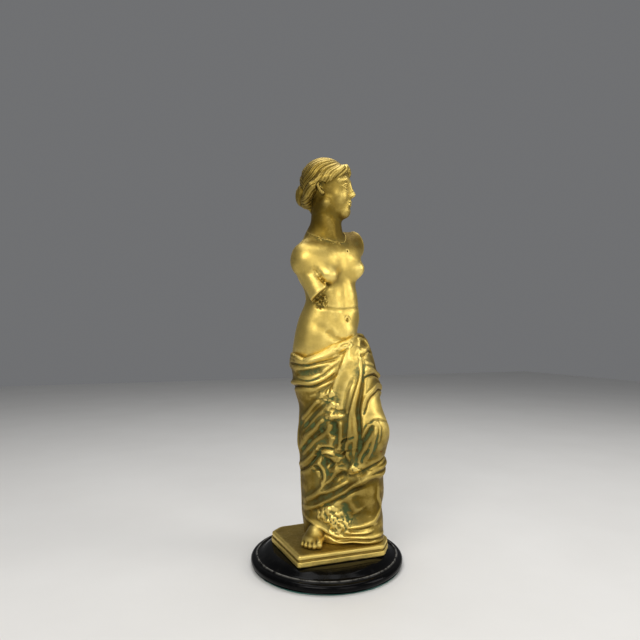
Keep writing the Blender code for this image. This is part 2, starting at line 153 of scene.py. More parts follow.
def surface_nets(values, low, step):
    """Quads of the zero surface: one vertex in each cell that the surface crosses."""
    inside = values < 0
    shape = np.array(values.shape) - 1
    corners = [np.array(corner) for corner in np.ndindex(2, 2, 2)]
    count = np.zeros(shape, np.int8)
    for x, y, z in corners:
        count += inside[x:x + shape[0], y:y + shape[1], z:z + shape[2]]
    cells = np.argwhere((count > 0) & (count < 8))
    index = -np.ones(shape, np.int64)
    index[tuple(cells.T)] = np.arange(len(cells))

    total, hits = np.zeros((len(cells), 3)), np.zeros(len(cells))
    for corner in corners:
        for axis in np.flatnonzero(corner == 0):
            other = corner.copy()
            other[axis] = 1
            here = values[tuple((cells + corner).T)]
            there = values[tuple((cells + other).T)]
            cross = (here < 0) != (there < 0)
            share = np.where(cross, here / np.where(cross, here - there, 1), 0)
            at = np.tile(corner.astype(float), (len(cells), 1))
            at[:, axis] += share
            total += at * cross[:, None]
            hits += cross
    points = low + (cells + total / hits[:, None]) * step

    quads = []
    for axis in range(3):
        u, v = (axis + 1) % 3, (axis + 2) % 3
        here, there = [slice(None)] * 3, [slice(None)] * 3
        here[axis], there[axis] = slice(0, -1), slice(1, None)
        edge = np.argwhere(inside[tuple(here)] != inside[tuple(there)])
        clear = (edge[:, u] > 0) & (edge[:, v] > 0) & (edge < shape).all(1)
        edge = edge[clear]
        ring = []
        for du, dv in ((-1, -1), (0, -1), (0, 0), (-1, 0)):
            cell = edge.copy()
            cell[:, u] += du
            cell[:, v] += dv
            ring.append(index[tuple(cell.T)])
        quad = np.stack(ring, 1)
        outward = inside[tuple(edge.T)]
        quad[~outward] = quad[~outward][:, ::-1]
        quads.append(quad)
    return points, np.concatenate(quads)


TETRA = np.array([[1, -1, -1], [-1, -1, 1], [-1, 1, -1], [1, 1, 1]], float)


def slope_of(points, field, reach):
    """The field's gradient."""
    total = np.zeros_like(points)
    for corner in TETRA:
        total += corner * field(points + corner * reach)[:, None]
    return total / (4 * reach)


def settle(points, field, step):
    """Moves points onto the zero surface."""
    for _ in range(2):
        slope = slope_of(points, field, 0.05)
        size = np.maximum((slope ** 2).sum(1), 0.1)
        move = np.clip(field(points) / size, -0.5 * step, 0.5 * step)
        points = points - move[:, None] * slope
    return points


def neighbour_mean(points, edges):
    """Each vertex's neighbours, averaged."""
    a, b = np.concatenate((edges, edges[:, ::-1])).T
    count = np.bincount(a, minlength=len(points))
    total = np.stack([np.bincount(a, points[b, axis], len(points)) for axis in range(3)], 1)
    return total / count[:, None]


def hollows(points, normals, edges, rounds):
    """How far each vertex lies below its smoothed surroundings, in millimetres."""
    smoothed = points.copy()
    for _ in range(rounds):
        smoothed = (smoothed + neighbour_mean(smoothed, edges)) / 2
    return ((smoothed - points) * normals).sum(1)


def store(mesh, name, values):
    """Keeps a number for each vertex, for the material to read."""
    mesh.attributes.new(name, "FLOAT", "POINT").data.foreach_set("value", values.astype(np.float32))


def add_object(name, mesh, look):
    """A new object with its material, linked to the scene."""
    mesh.materials.append(look)
    made = bpy.data.objects.new(name, mesh)
    bpy.context.scene.collection.objects.link(made)
    return made


SMOOTHING = {"fine": 4, "deep": 40}     # rounds of smoothing that each scale of hollow is measured against


def sculpt(name, field, low, high, step, look, tones):
    """Meshes a field into a smooth object with the attributes that its material reads."""
    values, low = sample_grid(field, low, high, step)
    points, quads = surface_nets(values, low, step)
    points = settle(points, field, step)
    mesh = bpy.data.meshes.new(name)
    mesh.vertices.add(len(points))
    mesh.vertices.foreach_set("co", (points * MM).astype(np.float32).ravel())
    mesh.loops.add(quads.size)
    mesh.loops.foreach_set("vertex_index", quads.astype(np.int32).ravel())
    mesh.polygons.add(len(quads))
    mesh.polygons.foreach_set("loop_start", np.arange(0, quads.size, 4, dtype=np.int32))
    mesh.update(calc_edges=True)
    mesh.validate()
    mesh.shade_smooth()
    normals = np.empty(len(mesh.vertices) * 3)
    mesh.vertices.foreach_get("normal", normals)
    normals = normals.reshape(-1, 3)
    edges = np.empty(len(mesh.edges) * 2, np.int32)
    mesh.edges.foreach_get("vertices", edges)
    edges = edges.reshape(-1, 2)
    seam = tones["seam"](points, normals) if "seam" in tones else 0
    for attribute, rounds in SMOOTHING.items():
        store(mesh, attribute, hollows(points, normals, edges, rounds) * (1 - seam))
    for attribute in ("green", "rub_and_highlight"):
        store(mesh, attribute, tones[attribute](points, normals))
    return add_object(name, mesh, look)


# ---------------------------------------------------------------------------------------------
# The figure: frames, masses and folds
# ---------------------------------------------------------------------------------------------

WORLD = placed((0, 0, 0))
HEAD = placed((0.3, 0.3, 254.6), turn=54)
NECK = placed((0, 1, 240), turn=34)
CHEST = placed((1, 1, 215), turn=22, roll=-10, nod=-2)
WAIST = placed((3, 0, 188), turn=19, roll=-2)
PELVIS = placed((1, 2, 155), turn=14, roll=4)
HIPS = placed((4.2, 1, 152), turn=14, roll=5)
FOOT = placed((-17.2, -17.4, 19.0), turn=-26)

NECK_MASSES = (
    (NECK, 6, (0, 1, -10), (0, 0.5, 23), 12.2, 10.3),
    (NECK, 7, (-7.6, -3.8, 18), (-2.6, -8.8, -7), 1.8, 1.6),
    (NECK, 7, (7.6, -3.8, 18), (2.6, -8.8, -7), 1.8, 1.6),
)
TORSO_MASSES = (
    (CHEST, 5, (1, 0, -3), (21.5, 16, 25)),
    (CHEST, 8, (0, 1, 12), (21, 12.5, 11)),
    (CHEST, 8, (1, -4, 4), (18, 13.2, 16)),
    (CHEST, 8, (-11, 10, 5), (9.5, 5.4, 14)),
    (CHEST, 8, (11, 10, 5), (9.5, 5.4, 14)),
    (CHEST, 9, (0, 6, 26), (-16, 3, 15), 6.5, 6.5),
    (CHEST, 9, (0, 6, 26), (19, 2.0, 20.0), 6.5, 7.2),
    (CHEST, 8, (-17.4, 1, 10), (7.6, 9.2, 9.6)),
    (CHEST, 9, (18.5, 0.3, 13.6), (9.8, 10.6, 11.0)),
    (CHEST, 6, (-12.8, -9.8, -1.2), (9.4, 8.4, 10)),
    (CHEST, 6, (14.0, -9.8, 0.8), (9.4, 8.6, 10)),
    (CHEST, 6, (-14.0, -15.2, -3.8), (5.0, 6.4, 5.0)),
    (CHEST, 6, (15.4, -15.4, -1.8), (5.0, 6.4, 5.0)),
    (CHEST, 8, (-12, -7, 8), (9, 7, 9.5)),
    (CHEST, 8, (13, -7, 9), (9, 7.3, 9.5)),
    (WAIST, 9, (1.5, 0, 0), (21.5, 14.5, 22)),
    (WAIST, 9, (0.4, 0, -12), (23, 15.5, 15)),
    (WAIST, 6, (1.4, -7.5, -17), (13, 9.6, 11)),
    (WAIST, 5, (1.8, -11.2, -19.5), (9.5, 7.6, 9)),
    (WAIST, 9, (-7, -5.6, 2), (7.5, 8.4, 15)),
    (WAIST, 9, (8.6, -5.6, 2), (7.5, 8.4, 15)),
    (PELVIS, 9, (0, 0, 2), (26.5, 18.5, 21)),
    (PELVIS, 9, (-9, 0, 13), (14.5, 14, 20)),
    (PELVIS, 7, (-9.5, 9, -6), (12.5, 11.5, 14)),
    (PELVIS, 7, (9.5, 9, -7), (12.5, 11.5, 14)),
)
RIGHT_ARM_MASSES = (
    (CHEST, 5, (-20, 0, 10.2), (8.6, 9.6, 9.8)),
    (CHEST, 6, (-20.7, -0.5, 7), (-19.6, -10.5, -17), 8.6, 8.1),
)
LEFT_ARM_MASSES = (
    (CHEST, 5, (19, 1, 13.0), (40, -0.5, 20.2), 10.8, 10.4),
    (CHEST, 6, (22, -5.5, 12), (34, -3, 17), 5.5, 5),
)
DRAPERY_MASSES = (
    (HIPS, 5, (-0.5, 0, -1), (31.2, 21.2, 26)),
    (HIPS, 5, (-9.5, 10, -4), (14, 13, 17)),
    (HIPS, 5, (9.5, 10, -5), (14, 13, 17)),
    (WORLD, 6, (-8, 2, 150), (-6.5, 2, 133), 18.2, 17.2),
    (WORLD, 8, (-3.5, 2, 132), (-5, 3, 90), 17.2, 13.4),
    (WORLD, 6, (-5, 3, 90), (-3, 3, 10), 13.6, 12.5),
    (WORLD, 8, (14, -6, 143), (20.5, -26, 98), 18.6, 15),
    (WORLD, 5, (27, 2, 160), (30.5, -11, 126), 7.6, 9),
    (WORLD, 6, (20.5, -26, 98), (22.5, -17, 55), 15, 13),
    (WORLD, 6, (22.5, -17, 55), (23.5, -15.5, 32), 13, 12.6),
    (WORLD, 5, (23.5, -15, 32), (24.5, -15, 14), 12.4, 14.5),
    (WORLD, 10, (10, 7, 128), (11, 7, 10), 15.5, 15),
    (WORLD, 8, (5, -11, 116), (4, -11, 10), 11, 10.8),
)

CLOTH_AXIS = np.array([4.0, 0.0])
BODY_AXIS = np.array([1.5, 0.5])

# Each fold: height above the cloth (negative for a groove), half width, lean, then its path as
# (bearing, height) points, where bearing 0 is the figure's front and 90 her left side.
# A positive lean makes the fold steeper on the right of its path.
GIRDLE_FOLDS = (
    (2.2, 3.6, 0.3, ((-150, 150), (-110, 155), (-81, 152), (-60, 149), (-38, 152), (-12, 157), (14, 161),
                     (40, 165), (80, 168), (130, 164), (170, 156))),
    (-1.3, 1.2, 0, ((-100, 147), (-62, 145), (-42, 147), (-22, 149), (-2, 152))),
    (0.9, 1.2, 0, ((-74, 142), (-54, 144), (-36, 146), (-20, 148))),
    (-1.7, 2.6, 0, ((-84, 139), (-62, 140), (-48, 141), (-36, 142))),
    (1.4, 1.5, 0.3, ((-84, 137), (-60, 136), (-42, 139), (-26, 144), (-8, 149))),
    (1.9, 2.4, -0.3, ((-140, 134), (-112, 132), (-84, 133), (-60, 133), (-42, 135), (-26, 139), (-6, 145))),
    (-1.9, 1.3, 0, ((-130, 128), (-100, 129), (-78, 130), (-56, 130), (-39, 133), (-22, 137), (-8, 141))),
    (0.9, 1.1, 0, ((-55, 128), (-38, 131), (-22, 134), (-10, 138))),
    (-0.8, 0.9, 0, ((-50, 125), (-34, 128), (-20, 132))),
    (0.8, 1.1, 0, ((-48, 122), (-36, 124), (-26, 127))),
    (-1.0, 0.8, 0, ((-6, 158), (6, 160), (15, 160))),
    (0.9, 0.9, 0, ((-8, 156), (5, 157), (13, 159))),
    (-0.9, 0.8, 0, ((-9, 153), (3, 155), (12, 157))),
)
CASCADE_FOLDS = (
    (1.5, 2.2, 0.4, ((19, 161), (4, 152), (-6, 142), (-16, 131), (-26, 121))),
    (-1.0, 1.5, 0, ((14, 138), (4, 129), (-1, 119), (-3, 110))),
    (1.2, 4.5, 0, ((14, 155), (6, 144), (-4, 132), (-9, 120))),
    (2.3, 1.9, 0.5, ((30, 152), (22, 139), (13, 128), (7, 118), (3, 106), (2, 94), (5, 82), (8, 74))),
    (-3.0, 1.7, 0, ((36, 150), (28, 139), (19, 128), (13, 119), (10, 111), (8, 100), (9, 88), (12, 77))),
    (2.4, 2.2, 0, ((36, 158), (50, 163), (66, 162), (64, 157), (48, 155), (38, 157))),
    (-1.6, 1.1, 0, ((30, 152), (42, 153), (56, 155), (76, 154))),
    (1.6, 2.0, 0.2, ((27, 141), (42, 142), (60, 139), (80, 134), (110, 128))),
    (-1.9, 0.9, 0, ((24, 136), (36, 138), (54, 138), (70, 134), (96, 126))),
    (1.2, 1.6, 0, ((36, 148), (46, 146), (62, 144))),
    (-1.5, 0.8, 0, ((14, 111), (19, 116), (24, 121), (34, 125), (55, 127), (80, 122))),
    (1.1, 1.5, -0.3, ((13, 114), (20, 122), (30, 127), (50, 131), (74, 128))),
    (-0.7, 1.0, 0, ((15, 105), (22, 108), (31, 108), (46, 104))),
    (-2.6, 1.7, 0, ((21, 106), (15, 99), (11, 92), (11, 83))),
    (1.3, 1.1, 0, ((18, 106), (12, 101), (9, 95))),
    (1.3, 1.3, 0, ((22, 103), (19, 95), (19, 87), (18, 80))),
    (0.8, 0.9, 0, ((26, 105), (24, 99), (23, 93))),
    (-1.2, 1.1, 0, ((17, 88), (15, 82), (15, 77))),
    (1.5, 3.0, 0, ((9, 75), (14, 72))),
)
LOWER_FOLDS = (
    (-1.7, 1.2, 0, ((70, 88), (46, 81), (30, 77), (22, 74), (15, 69), (6, 66))),
    (1.7, 1.7, 0.3, ((90, 84), (60, 79), (43, 75), (30, 73), (21, 69), (14, 64))),
    (2.2, 2.3, 0.4, ((80, 80), (44, 70), (28, 69), (19, 65), (10, 59), (-8, 54), (-34, 48), (-66, 43),
                     (-95, 41))),
    (-2.1, 1.6, 0, ((24, 62), (15, 58), (4, 54), (-18, 49), (-48, 43), (-75, 39))),
    (1.3, 1.5, 0, ((12, 64), (-6, 60), (-28, 56), (-55, 52), (-80, 46))),
    (-1.7, 2.2, 0, ((8, 68), (0, 68), (-12, 66), (-26, 61), (-42, 56))),
    (1.6, 1.8, 0.2, ((-8, 73), (-20, 65), (-42, 58), (-66, 52), (-90, 46))),
    (1.8, 1.4, 0.3, ((-48, 82), (-32, 83), (-16, 82))),
    (-1.5, 0.8, 0, ((-50, 85), (-34, 86), (-16, 86))),
    (-3.0, 2.6, 0, ((-42, 76), (-28, 76), (-18, 73))),
    (-1.6, 1.1, 0, ((-44, 84), (-60, 78), (-80, 71), (-110, 66))),
    (1.4, 1.7, 0, ((-46, 89), (-66, 81), (-88, 74), (-115, 70))),
    (1.7, 1.5, 0, ((-66, 74), (-52, 74), (-39, 70), (-36, 64), (-50, 58))),
    (-1.0, 1.0, 0, ((-60, 70), (-50, 69), (-46, 64))),
    (-2.0, 1.7, 0, ((-100, 80), (-82, 86), (-66, 92), (-50, 97), (-34, 101))),
    (-3.0, 2.3, 0, ((-19, 106), (-17, 101), (-20, 95))),
    (1.4, 1.6, 0, ((-84, 92), (-64, 98), (-52, 103), (-36, 107))),
    (-1.1, 1.3, 0, ((-90, 98), (-74, 104), (-56, 111), (-40, 116), (-28, 120))),
    (1.1, 1.6, 0, ((-94, 104), (-76, 110), (-58, 117), (-44, 121))),
    (-1.5, 1.6, 0, ((-24, 115), (-12, 113), (0, 113))),
    (1.1, 1.5, 0, ((-26, 111), (-14, 109), (-2, 110))),
    (-1.0, 0.8, 0, ((-4, 90), (1, 94), (5, 97))),
    (-1.0, 0.8, 0, ((-3, 81), (2, 84), (6, 87))),
    (1.3, 2.2, 0, ((-8, 108), (-5, 100), (-6, 90), (-12, 82))),
    (1.8, 4.6, 0, ((-2, 57), (14, 48), (24, 40))),
    (1.1, 1.8, 0.4, ((36, 62), (37, 52), (44, 44), (38, 37), (31, 34), (20, 31), (9, 31), (4, 36))),
    (-1.1, 0.9, 0, ((34, 32), (20, 29), (8, 29))),
)
HEM_FOLDS = (
    (2.0, 1.5, 0.3, ((-95, 34), (-68, 31), (-34, 28), (-10, 25), (14, 24), (36, 24), (60, 24))),
    (-1.6, 0.9, 0, ((-56, 26), (-30, 25), (-8, 22))),
    (1.4, 1.0, 0, ((0, 28), (14, 27), (24, 27), (35, 29))),
    (-1.1, 0.7, 0, ((-4, 25.6), (14, 25.4), (34, 26.5))),
    (1.8, 1.0, 0, ((-16, 21), (4, 20.6), (22, 20.6), (42, 20.8))),
)
BACK_FOLDS = (
    (1.7, 2.4, 0.3, ((88, 152), (112, 146), (145, 139), (180, 135), (215, 137), (245, 143), (268, 148))),
    (-1.5, 1.6, 0, ((95, 146), (125, 139), (160, 132), (195, 129), (230, 132), (258, 138))),
    (1.3, 2.0, 0.3, ((100, 138), (130, 130), (165, 123), (200, 121), (235, 127))),
    (-1.2, 1.5, 0, ((110, 130), (140, 121), (175, 114), (205, 114))),
    (1.5, 2.8, 0.3, ((92, 128), (97, 105), (99, 80), (96, 50), (98, 24))),
    (-1.7, 1.8, 0, ((104, 132), (110, 108), (112, 84), (108, 52), (110, 22))),
    (1.7, 3.2, -0.2, ((118, 125), (124, 100), (127, 72), (122, 44), (125, 22))),
    (-1.8, 1.9, 0, ((134, 118), (141, 92), (142, 66), (137, 38), (139, 22))),
    (1.6, 2.6, 0.3, ((150, 112), (156, 90), (154, 62), (151, 36), (154, 22))),
    (-1.3, 2.4, 0, ((168, 108), (172, 84), (168, 56), (166, 30), (168, 22))),
    (1.8, 3.4, 0.3, ((190, 115), (188, 92), (182, 64), (182, 38), (184, 22))),
    (-1.9, 1.8, 0, ((214, 120), (208, 96), (200, 70), (198, 40), (199, 22))),
    (1.5, 2.4, -0.3, ((228, 122), (224, 96), (216, 66), (213, 40), (214, 22))),
    (-1.4, 1.9, 0, ((246, 124), (242, 98), (234, 72), (228, 46), (230, 24))),
    (1.3, 2.6, 0.2, ((256, 116), (254, 92), (250, 66), (244, 42), (246, 24))),
)


FAR_OUT = 75.0          # every search for a shape's outside starts this far from its axis
FOLD_SAMPLE = 1.3       # distance between points along a fold
FOLD_REACH = 7          # folds are worked out only this close to the cloth


def bearing_points(field, axis, path, samples):
    """A smooth path on a shape's outside, from its (bearing, height) points."""
    path = np.array(path, float)
    knots = np.arange(len(path))
    at = np.linspace(0, len(path) - 1, samples)
    ends = np.vstack((2 * path[0] - path[1], path, 2 * path[-1] - path[-2]))
    first = np.minimum(at.astype(int), len(path) - 2)
    t = (at - knots[first])[:, None]
    p0, p1, p2, p3 = (ends[first + shift] for shift in range(4))
    smooth = 0.5 * (2 * p1 + (p2 - p0) * t + (2 * p0 - 5 * p1 + 4 * p2 - p3) * t ** 2
                    + (3 * p1 - p0 - 3 * p2 + p3) * t ** 3)
    bearing = np.radians(smooth[:, 0])
    outward = np.stack((np.sin(bearing), -np.cos(bearing), np.zeros(samples)), 1)
    start = np.column_stack((np.tile(axis, (samples, 1)), smooth[:, 1]))
    reach = np.full(samples, FAR_OUT)
    for _ in range(60):
        reach -= np.maximum(field(start + outward * reach[:, None]), 0) * 0.8
    return start + outward * reach[:, None]


def lay_folds(field, axis, folds):
    """Places folds on a shape: at each point of a fold its height, its rise and its directions."""
    laid = []
    for height, width, lean, path in folds:
        rough = bearing_points(field, axis, path, 4 * len(path))
        length = np.linalg.norm(np.diff(rough, axis=0), axis=1).sum()
        samples = max(8 * len(path), int(length / FOLD_SAMPLE))
        points = bearing_points(field, axis, path, samples)
        along = np.gradient(points, axis=0)
        along /= np.linalg.norm(along, axis=1)[:, None]
        normal = slope_of(points, field, 0.5)
        across = np.cross(along, normal)
        across /= np.linalg.norm(across, axis=1)[:, None]
        share = np.linspace(0, 1, samples)
        fade = np.minimum(1, np.sin(np.pi * np.clip(share, 0.02, 0.98)) * 1.9)
        tall = height * fade
        rise = np.gradient(tall) * (samples - 1) / max(length, 1.0)
        laid.append((tall, rise, width, lean, points, across, along))
    return laid


def relief(points, laid):
    """How much the folds raise the surface near each point."""
    total = np.zeros(len(points))
    for tall, rise, width, lean, path, across, along in laid:
        reach = 3.2 * width + 1.5
        near = ((points > path.min(0) - reach) & (points < path.max(0) + reach)).all(1)
        near = np.flatnonzero(near)
        if not len(near):
            continue
        square = (points[near] ** 2).sum(1)[:, None] + (path ** 2).sum(1) - 2 * points[near] @ path.T
        nearest = square.argmin(1)
        distance = np.sqrt(np.maximum(square[np.arange(len(near)), nearest], 0))
        offset = points[near] - path[nearest]
        side = (offset * across[nearest]).sum(1)
        ahead = np.clip((offset * along[nearest]).sum(1), -1.5, 1.5)
        spread = width * np.where(side > 0, 1 - lean, 1 + lean)
        overshoot = np.maximum(distance - 3.0, 0) * (np.abs(side) < 0.5 * distance)
        profile = np.exp(-(side / spread) ** 2) * np.exp(-(overshoot / 3) ** 2)
        profile *= np.exp(-np.maximum(distance - 2.6 * width - 3, 0))
        total[near] += (tall[nearest] + rise[nearest] * ahead) * profile
    return total


WAVE_COUNT = 6
LATTICE = 32            # random heights along each side of the lattice, after which they repeat


def waves(points, size, seed):
    """Soft unevenness left by the hand that modelled the wax, from a few sums of sines."""
    phases = np.random.default_rng(seed).uniform(0, 6.28, (WAVE_COUNT, 3))
    turns = np.random.default_rng(seed + 1).normal(0, 1, (WAVE_COUNT, 3))
    total = np.zeros(len(points))
    for turn, phase in zip(turns, phases):
        turn = turn / np.linalg.norm(turn) * 6.28 / size
        total += np.sin(points @ turn + phase[0]) * np.sin(points[:, [1, 2, 0]] @ turn * 0.7 + phase[1])
    return total / WAVE_COUNT


def lumps(points, size, seed):
    """Uneven lumps: random heights on a lattice, filled in smoothly, from about -1 to 1."""
    heights = np.random.default_rng(seed).uniform(-1, 1, (LATTICE,) * 3)
    cell = np.floor(points / size).astype(int)
    part = smooth_step(points / size - cell, 0, 1)
    total = np.zeros(len(points))
    for corner in ((x, y, z) for x in (0, 1) for y in (0, 1) for z in (0, 1)):
        share = np.where(corner, part, 1 - part).prod(1)
        total += share * heights[tuple(((cell + corner) % LATTICE).T)]
    return total


def drawn(at, path, width, side):
    """Nearness, from 0 to 1, to a line of (x, z) points drawn on the front or back of a mass."""
    away = strip(at * (1, 0, 1), [(x, 0, z) for x, z in path], 0.01)
    return np.exp(-(away / width) ** 2) * smooth_step(side * at[:, 1], 2, 7)


def plane(points, seam, offset=0.0):
    """Distance above a cutting plane, given as place, point and normal."""
    place, point, normal = seam
    normal = np.array(normal, float)
    return (to_local(points, place) - np.array(point, float)) @ (normal / np.linalg.norm(normal)) - offset


NECK_SEAM = (NECK, (0, 0, 1.5), (-0.15, -0.45, 1))
NECK_REACH = 16.0       # the head's piece goes no further than this from the neck's axis
TUCK = (PELVIS, (0, 0, 0.5), (-0.34, -0.14, 1))      # the torso goes on below the edge of the cloth
RIGHT_ARM_END = (CHEST, (-20.5, -9, -16.5), (0.25, -0.5, -0.83))
LEFT_ARM_END = (CHEST, (33, 0, 18), (1, 0, 0))

# Lines pressed into the body: frame, depth, half width, side (-1 front, 1 back) and (x, z) points
BODY_LINES = (
    (CHEST, 0.9, 4.6, -1, ((0.6, 5), (0.6, -9))),                       # breastbone
    (CHEST, 0.30, 3.0, -1, ((0.8, -12), (0.8, -30))),                   # midline
    (WAIST, 0.25, 2.8, -1, ((1, 10), (1, -8))),
    (WAIST, 0.30, 1.3, -1, ((-19, -0.2), (-8, -2.4), (1, -2.8), (10, -1.8), (19, 0.4))),    # waist
    (WAIST, 0.30, 2.8, -1, ((-14, 14), (-7.5, 20), (0, 24), (8.5, 20), (15, 14))),          # ribs
    (PELVIS, 1.1, 2.1, -1, ((-11, 12.5), (-7, 9.4), (-2, 8.2), (3, 8.8), (7, 10.5))),       # belly's edge
    (PELVIS, 0.4, 3.4, -1, ((-20, 19), (-11, 12.5))),                   # groins
    (PELVIS, 0.4, 3.4, -1, ((20, 17), (7, 10.5))),
    (CHEST, 0.9, 3.2, 1, ((0.5, 18), (0.5, -34))),                      # spine
    (PELVIS, 0.7, 3.0, 1, ((1, 36), (1, 8))),
    (CHEST, 0.5, 2.6, 1, ((-5, 12), (-7.5, 2), (-13, -7))),             # shoulder blades
    (CHEST, 0.5, 2.6, 1, ((6, 12), (8.5, 2), (14, -7))),
)


def trunk_field(points):
    """Torso and neck without the arms."""
    return masses(points, TORSO_MASSES + NECK_MASSES)


def right_arm_field(points):
    """The right stump, hanging, cut off above the elbow."""
    return carve(masses(points, RIGHT_ARM_MASSES), -plane(points, RIGHT_ARM_END), 1.0)


def left_arm_field(points):
    """The left stump, raised a little, cut off below the shoulder."""
    return carve(masses(points, LEFT_ARM_MASSES), -plane(points, LEFT_ARM_END), 1.2)


def body_field(points):
    """The bare body as one skin, and how far each point lies on each stump's side of its seam."""
    trunk = trunk_field(points)
    right, left = right_arm_field(points), left_arm_field(points)
    chest, waist = to_local(points, CHEST), to_local(points, WAIST)
    low = smooth_step(-chest[:, 2], -4, 6)
    skin = join(join(trunk, right, 5.5 - 4.3 * low), left, 8.5)
    for place, depth, width, side, path in BODY_LINES:
        skin += depth * drawn(to_local(points, place), path, width, side)

    # Navel
    skin = carve(skin, ball(waist, (1.2, -18.2, -9.5), (1.2, 2.0, 1.5)), 1.4)
    skin = join(skin, strip(waist, ((-0.5, -17.2, -9), (1.2, -17.6, -7.5), (2.9, -17.2, -9)), 0.5), 1.4)

    # Rough, unchased metal in the cleft beside the right stump and under it, and a small casting pit
    seam = trunk - right
    cleft = np.exp(-((seam + 0.4) / 1.7) ** 2) * smooth_step(-chest[:, 1], 3, 8)
    cleft *= smooth_step(chest[:, 2], -15, -9) * smooth_step(-chest[:, 2], -5, -1)
    skin += cleft * (1.2 + 0.9 * lumps(points, 2.7, 4) + 0.5 * lumps(points, 1.2, 14))
    patch = smooth_step(-ball(chest, (-19, -8.5, -21.5), (4, 5.5, 6.5)), -1.5, 2.0)
    skin += patch * (0.45 * lumps(points, 1.8, 5) + 0.4 * lumps(points, 0.95, 6) + 0.3)
    skin = carve(skin, ball(chest, (7.8, -15.5, 12.2), (0.8, 2.4, 0.8)), 0.5)
    skin += 0.10 * waves(points, 13, 3) + 0.05 * lumps(points, 4, 7)
    return skin - neck_solder(points), seam, trunk - left


def off_axis(at):
    """Distance from the neck's own axis, in the neck's frame."""
    return np.hypot(at[:, 0], at[:, 1] - 1)


def above_neck(points):
    """Positive inside the region that belongs to the head: above the joint, within the neck's width."""
    at = to_local(points, NECK)
    reach = NECK_REACH + 3 * np.maximum(at[:, 2] - 10, 0)
    return np.minimum(plane(points, NECK_SEAM), reach - off_axis(at))


def joint_band(points, half_width):
    """1 on the neck joint, fading above and below it."""
    return np.exp(-(plane(points, NECK_SEAM) / half_width) ** 2)


def mirrored(at):
    """Points in a frame, with her right side laid over her left."""
    return np.column_stack((np.abs(at[:, 0]), at[:, 1:]))


# Each step on the face: how, shape, its numbers in the head's frame, and the blend
FACE = (
    # Cheeks, jaw and chin
    (join, ball, (0, -5, 17.5), (11.6, 13.8, 16.3), 6),
    (join, ball, (0, -12.8, 4.5), (5.0, 5.1, 4.3), 5),
    (join, limb, (9.2, -3, 9.5), (2.5, -12.5, 4.8), 4.4, 3.4, 4),
    (join, ball, (6.4, -11.3, 14.8), (4.6, 5.0, 5.6), 4),
    (join, ball, (0, -14.0, 10.6), (4.4, 4.0, 4.2), 3),
    # Brows, eyes and lids
    (join, strip, ((1.6, -16.4, 25.8), (6, -16.1, 27.3), (10.4, -12.6, 26.1)), (0.9, 0.9, 0.8), 3.6),
    (carve, ball, (5.9, -18.7, 22.9), (3.9, 3.0, 2.5), 2.2),
    (join, ball, (5.9, -14.0, 22.5), (3.2, 3.2, 3.2), 0.6),
    (join, strip, ((2.9, -16.1, 22.0), (4.4, -17.1, 23.6), (6.4, -17.3, 24.1), (8.5, -16.1, 23.2),
                   (9.6, -14.5, 21.9)), 0.42, 0.5),
    (join, strip, ((2.9, -16.1, 22.0), (4.6, -16.9, 20.9), (6.6, -16.9, 20.6), (8.5, -15.8, 21.1),
                   (9.6, -14.5, 21.9)), 0.32, 0.5),
    # Nose
    (join, limb, (0, -16.5, 25.5), (0, -20.0, 17.8), 1.4, 1.6, 1.8),
    (join, ball, (0, -20.4, 16.9), (1.8, 1.8, 1.6), 1.2),
    (join, ball, (1.9, -18.5, 16.2), (1.3, 1.8, 1.3), 0.9),
    (carve, ball, (1.0, -19.5, 15.1), (0.5, 0.9, 0.6), 0.4),
    # Mouth
    (join, strip, ((0, -18.0, 11.7), (1.0, -18.2, 12.0), (2.6, -17.4, 11.3), (4.0, -16.0, 10.6)),
     (0.8, 0.85, 0.7, 0.3), 0.8),
    (join, strip, ((0, -17.9, 9.5), (1.8, -17.6, 9.6), (3.8, -16.1, 10.4)), (1.1, 1.0, 0.3), 0.8),
    (carve, strip, ((0, -18.9, 10.7), (1.8, -18.6, 10.8), (4.2, -16.5, 10.5)), 0.18, 0.5),
    (carve, limb, (0, -19.1, 7.2), (1.8, -18.7, 7.4), 0.8, 0.6, 1.6),
    # Ear
    (join, strip, ((12.9, -1.4, 23.0), (14.3, -0.2, 25.0), (15.4, 2.0, 24.5), (15.5, 2.8, 21.8),
                   (14.4, 1.2, 18.4), (13.4, -0.4, 16.8)), (0.8, 0.9, 1.0, 1.0, 1.0, 1.4), 0.8),
    (join, strip, ((13.4, 1.6, 23.2), (13.6, 1.2, 21), (13.0, -0.4, 20)), 0.55, 0.5),
)
# The hair's roll round the face, its knot and tail, and the gaps at the ear and the parting
HAIR = (
    (join, strip, ((1.2, -15.2, 37.4), (5.6, -14.6, 35.2), (10.4, -11.2, 31.0), (13.2, -5.6, 27.8),
                   (14.6, 1.0, 26.6), (14.4, 7.0, 22.2), (11.4, 11.0, 17.0), (6.5, 13.6, 13.4)),
     (2.2, 3.0, 3.3, 3.1, 2.9, 3.4, 3.8, 3.6), 2.6),
    (join, ball, (0, 16.2, 18.6), (8.4, 8.0, 9.3), 3),
    (join, limb, (0, 12.5, 13), (0, 9.6, 4), 4.6, 2.0, 3),
    (carve, ball, (14.8, 0.4, 20.6), (3.6, 3.8, 4.8), 1.2),
    (carve, strip, ((0, -19, 36), (0, -14.5, 41.5), (0, -4, 47.0)), (0.7, 0.45, 0.2), 2.2),
)
TRUNK_TOP = 278         # the neck's own masses reach no higher
FAR = 40.0              # stands for the distance to a shape that isn't near


def modelled(skin, at, steps):
    """Joins shapes to a skin, or carves them out of it, one after another."""
    for how, shape, *numbers, blend in steps:
        skin = how(skin, shape(at, *numbers), blend)
    return skin


